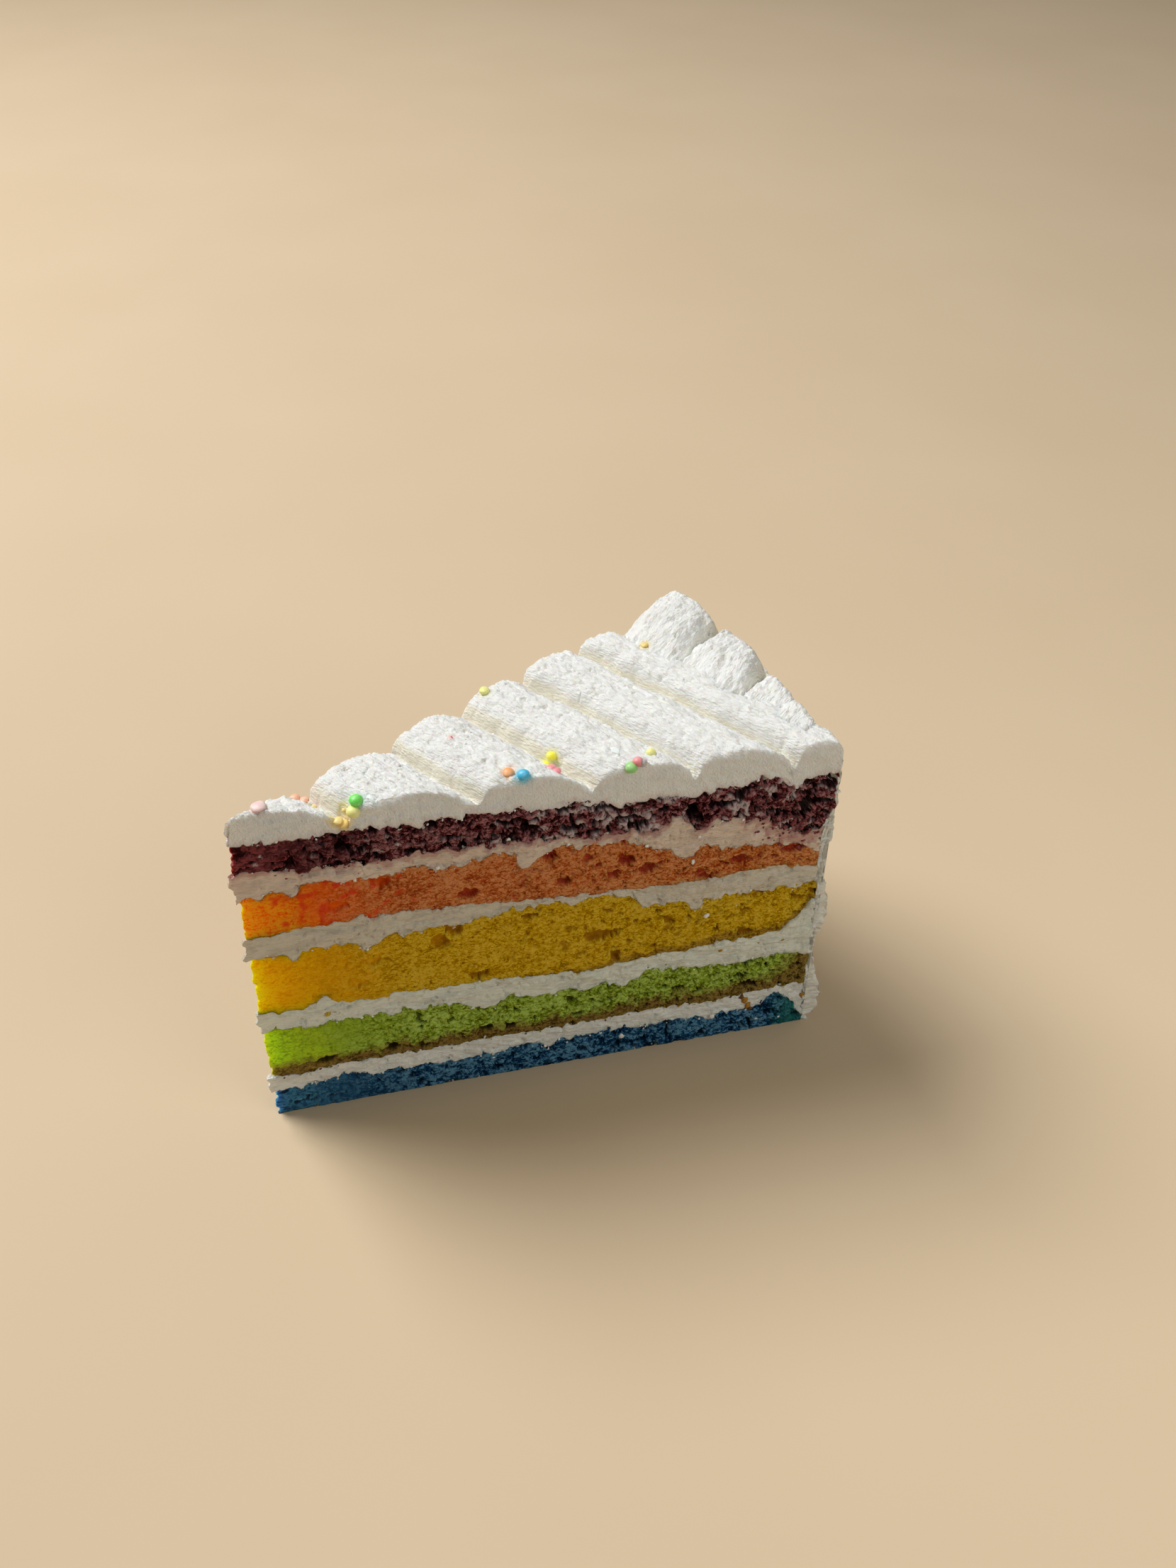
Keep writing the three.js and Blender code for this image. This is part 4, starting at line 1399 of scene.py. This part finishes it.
def mark_sponge(piece, name):
    """Browned crust, and flecks of another colour, as seen in each sponge; on the red one the flecks are
    partly painted highlights on its raised crumbs.
    """
    p, r, low, _ = measured(piece)
    uneven, patchy = layered(p / 2.2, 1501, 3), layered(p / 1.5, 1540, 3)
    crust, fleck_and_highlight = np.zeros(len(p)), np.zeros(len(p))
    if name == "sponge_green":
        solid = 2.8 + 0.3 * smooth(30, 90, r) + 7 * smooth(102, 109, r) + 1.7 * uneven
        mixed = 3.8 + 0.9 * smooth(50, 80, r) + 8 * smooth(101, 108, r) + 2.2 * uneven
        crust = 0.95 * smooth(solid + 0.5, solid - 0.5, low)
        crust = np.maximum(crust, 0.55 * smooth(mixed + 0.8, mixed - 0.8, low))
    elif name == "sponge_yellow":
        thick = 1.6 * smooth(50, 75, r) + 1.5 * bump_at(r, 92, 8) + 0.9 * uneven
        crust = 0.8 * smooth(thick + 0.6, thick - 0.4, low) * smooth(30, 60, r)
        crust = np.maximum(crust, 0.4 * smooth(106, 109, r))
    elif name == "sponge_orange":
        patches = patchy + 0.25 * bump_at(r, 18, 9) - 0.3 * smooth(20, 40, r)
        fleck_and_highlight = 0.8 * smooth(0.25, 0.6, patches)
        crust = 0.3 * smooth(0.9 + 0.4 * uneven, 0.2, low) * smooth(70, 85, r)
    elif name == "sponge_red":
        zone = 0.2 + 0.15 * smooth(20, 35, r) + 0.5 * smooth(78, 95, r)
        for centre, more, width in ((64, 0.85, 16), (21, 0.3, 5), (79, 0.6, 6)):
            zone = zone + more * bump_at(r, centre, width)
        strata = layered(np.c_[r / 7, p[:, 2] / 0.8], 1560, 2)
        # Painted highlights: pale tops on the red sponge's raised crumbs, in patches, more of them towards
        # the rim.
        fleck_and_highlight = 0.85 * smooth(0.45, 0.7, read_mask(piece, "rise"))
        fleck_and_highlight = fleck_and_highlight * smooth(0.60 - 0.5 * zone, 0.85 - 0.5 * zone, patchy)
        # Pale streaks along the red sponge's strata, which are its own colour.
        fleck_and_highlight = np.maximum(fleck_and_highlight, 0.2 * smooth(0.3, 0.6, strata) * smooth(15, 22, r) * smooth(55, 42, r))
    elif name == "sponge_blue":
        fleck_and_highlight = 0.8 * smooth(101, 107, r)
    set_mask(piece, "crust", crust)
    set_mask(piece, "fleck_and_highlight", fleck_and_highlight)


def mark_filling(piece, name):
    """Specks of crumb near the joints, and the highest filling's red ones from the sponge above."""
    p, r, low, high = measured(piece)
    specks = smooth(0.42, 0.7, layered(p / 0.9, 1610, 3))
    fleck_and_highlight = 0.6 * specks * smooth(1.4, 0.0, np.minimum(low, high))
    if name == "cream_orange_red":
        reach = 0.5 + 1.6 * layered(p / 1.8, 1601, 3)
        for centre, more, width in ((34, 0.7, 18), (70, 0.9, 9), (104, 2.5, 6)):
            reach = reach + more * bump_at(r, centre, width)
        fleck_and_highlight = np.maximum(0.5 * smooth(reach + 0.7, reach - 0.6, high), fleck_and_highlight)
        near_rim = smooth(92, 99, r) * smooth(5.0, 2.5, high)
        fleck_and_highlight = np.maximum(fleck_and_highlight, 0.7 * smooth(0.05, 0.3, layered(p, 1620, 3)) * near_rim)
    set_mask(piece, "fleck_and_highlight", fleck_and_highlight)
    set_mask(piece, "painted_shade", 0 * low)


def paint(piece, spots):
    """Paints soft round spots: each a place in millimetres, a radius, a colour and how strong it is."""
    p = points_of(piece)
    colour = np.zeros((len(p), 4))
    for place, radius, tint, strength in spots:
        near = np.linalg.norm(p - place, axis=1) + 0.35 * radius * layered(p / 0.7, 1750, 2)
        share = strength * smooth(radius, 0.35 * radius, near)
        stronger = share > colour[:, 3]
        colour[stronger] = np.c_[np.tile(tint, (stronger.sum(), 1)), share[stronger]]
    add_colours(piece, "stain", colour)


def make_slice():
    """The sponges, and the fillings between them."""
    pieces = []
    for index, name in enumerate(LAYERS):
        piece = make_layer(index)
        if name in SPONGE_COLOURS:
            mark_sponge(piece, name)
            material, slot = sponge_material(name), name
        else:
            mark_filling(piece, name)
            paint(piece, ())
            colour, below, stain = FILLING_COLOURS[name]
            # The colour of the painted shade in its pits.
            shaded = tuple(0.7 * part for part in colour)
            material = cream_material(name + "_soft", DRAGGED, 0.8, colour, stain, shaded, below)
            slot = "filling_cream"
        piece.data.materials.append(material)
        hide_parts(name)
        pieces.append(piece)
    return pieces


# Cream on the rim and on the top: its colour, what is mixed into it, and the colour of its painted shade
# in pits and on shaded walls.
RIM_CREAM = ((0.93, 0.91, 0.84), (0.62, 0.5, 0.3), (0.74, 0.70, 0.58))
TOP_CREAM = ((0.94, 0.94, 0.92), (0.80, 0.66, 0.66), (0.88, 0.83, 0.68))


def make_creams():
    """The cream on the rim, and the ridge and lobes of the piped top."""
    rim = make_rim()
    set_mask(rim, "fleck_and_highlight", 0.5 * smooth(0.45, 0.8, layered(points_of(rim) / 1.3, 1701, 3)))
    set_mask(rim, "painted_shade", 0 * read_mask(rim, "from_base"))
    paint(rim, ())
    rim.data.materials.append(cream_material("rim_cream_spread", DRAGGED, 0.88, *RIM_CREAM))
    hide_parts(RIM)
    piped = cream_material("top_cream_piped", PULLED, 0.93, *TOP_CREAM)
    outward = cream_material("top_cream_lobes", PULLED_OUT, 0.93, *TOP_CREAM)
    tops = [make_top(), *(make_lobe(name, 1800 + 50 * number) for number, name in enumerate(LOBES))]
    for piece, node in zip(tops, (TOP, *LOBES)):
        above_base = read_mask(piece, "from_base") + 0.6 * layered(points_of(piece) / 2, 1710)
        set_mask(piece, "fleck_and_highlight", 0.55 * smooth(1.5, 0.3, above_base))
        piece.data.materials.append(piped if node == TOP else outward)
        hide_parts(node)
    return rim, tops


def make_crumbs():
    """The loose crumbs on the front cut, more of them under the red sponge near the rim."""
    bits = [*CRUMBS]
    for joint, colours in STREWN_CRUMBS.items():
        bits += strewn(joint, colours, CRUMBS_A_JOINT, CRUMBS_REACH, 2000 + joint)
    bits += strewn(LAYERS.index("sponge_red"), ("red",), seed=2030, **FALLEN)
    piece = make_bits("cake_crumbs", bits, 2050)
    piece.data.materials.append(bit_material("loose_crumb", 0.5, 0.85, 0.1))
    return piece


def make_cream_bits():
    """The loose bits of cream on the front cut."""
    bits = [(*bit, "white") for bit in CREAM_BITS]
    for joint, count in STREWN_CREAM.items():
        bits += strewn(joint, ("white",), count, CREAM_REACH, 2100 + joint)
    piece = make_bits("cream_bits", bits, 2150)
    piece.data.materials.append(bit_material("loose_cream", 0.1, 0.5, 0.3))
    return piece


layers = make_slice()
rim, tops = make_creams()
pearls, halos = make_pearls(tree(*tops))
pearls.data.materials.append(sugar_material())
for piece in tops:
    paint(piece, halos)
cake_crumbs, cream_bits = make_crumbs(), make_cream_bits()
for piece in [*layers, rim, *tops, pearls, cake_crumbs, cream_bits]:
    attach(piece, "root")

make_floor()
light_scene()
place_camera()
bpy.context.scene.view_settings.view_transform = "Standard"
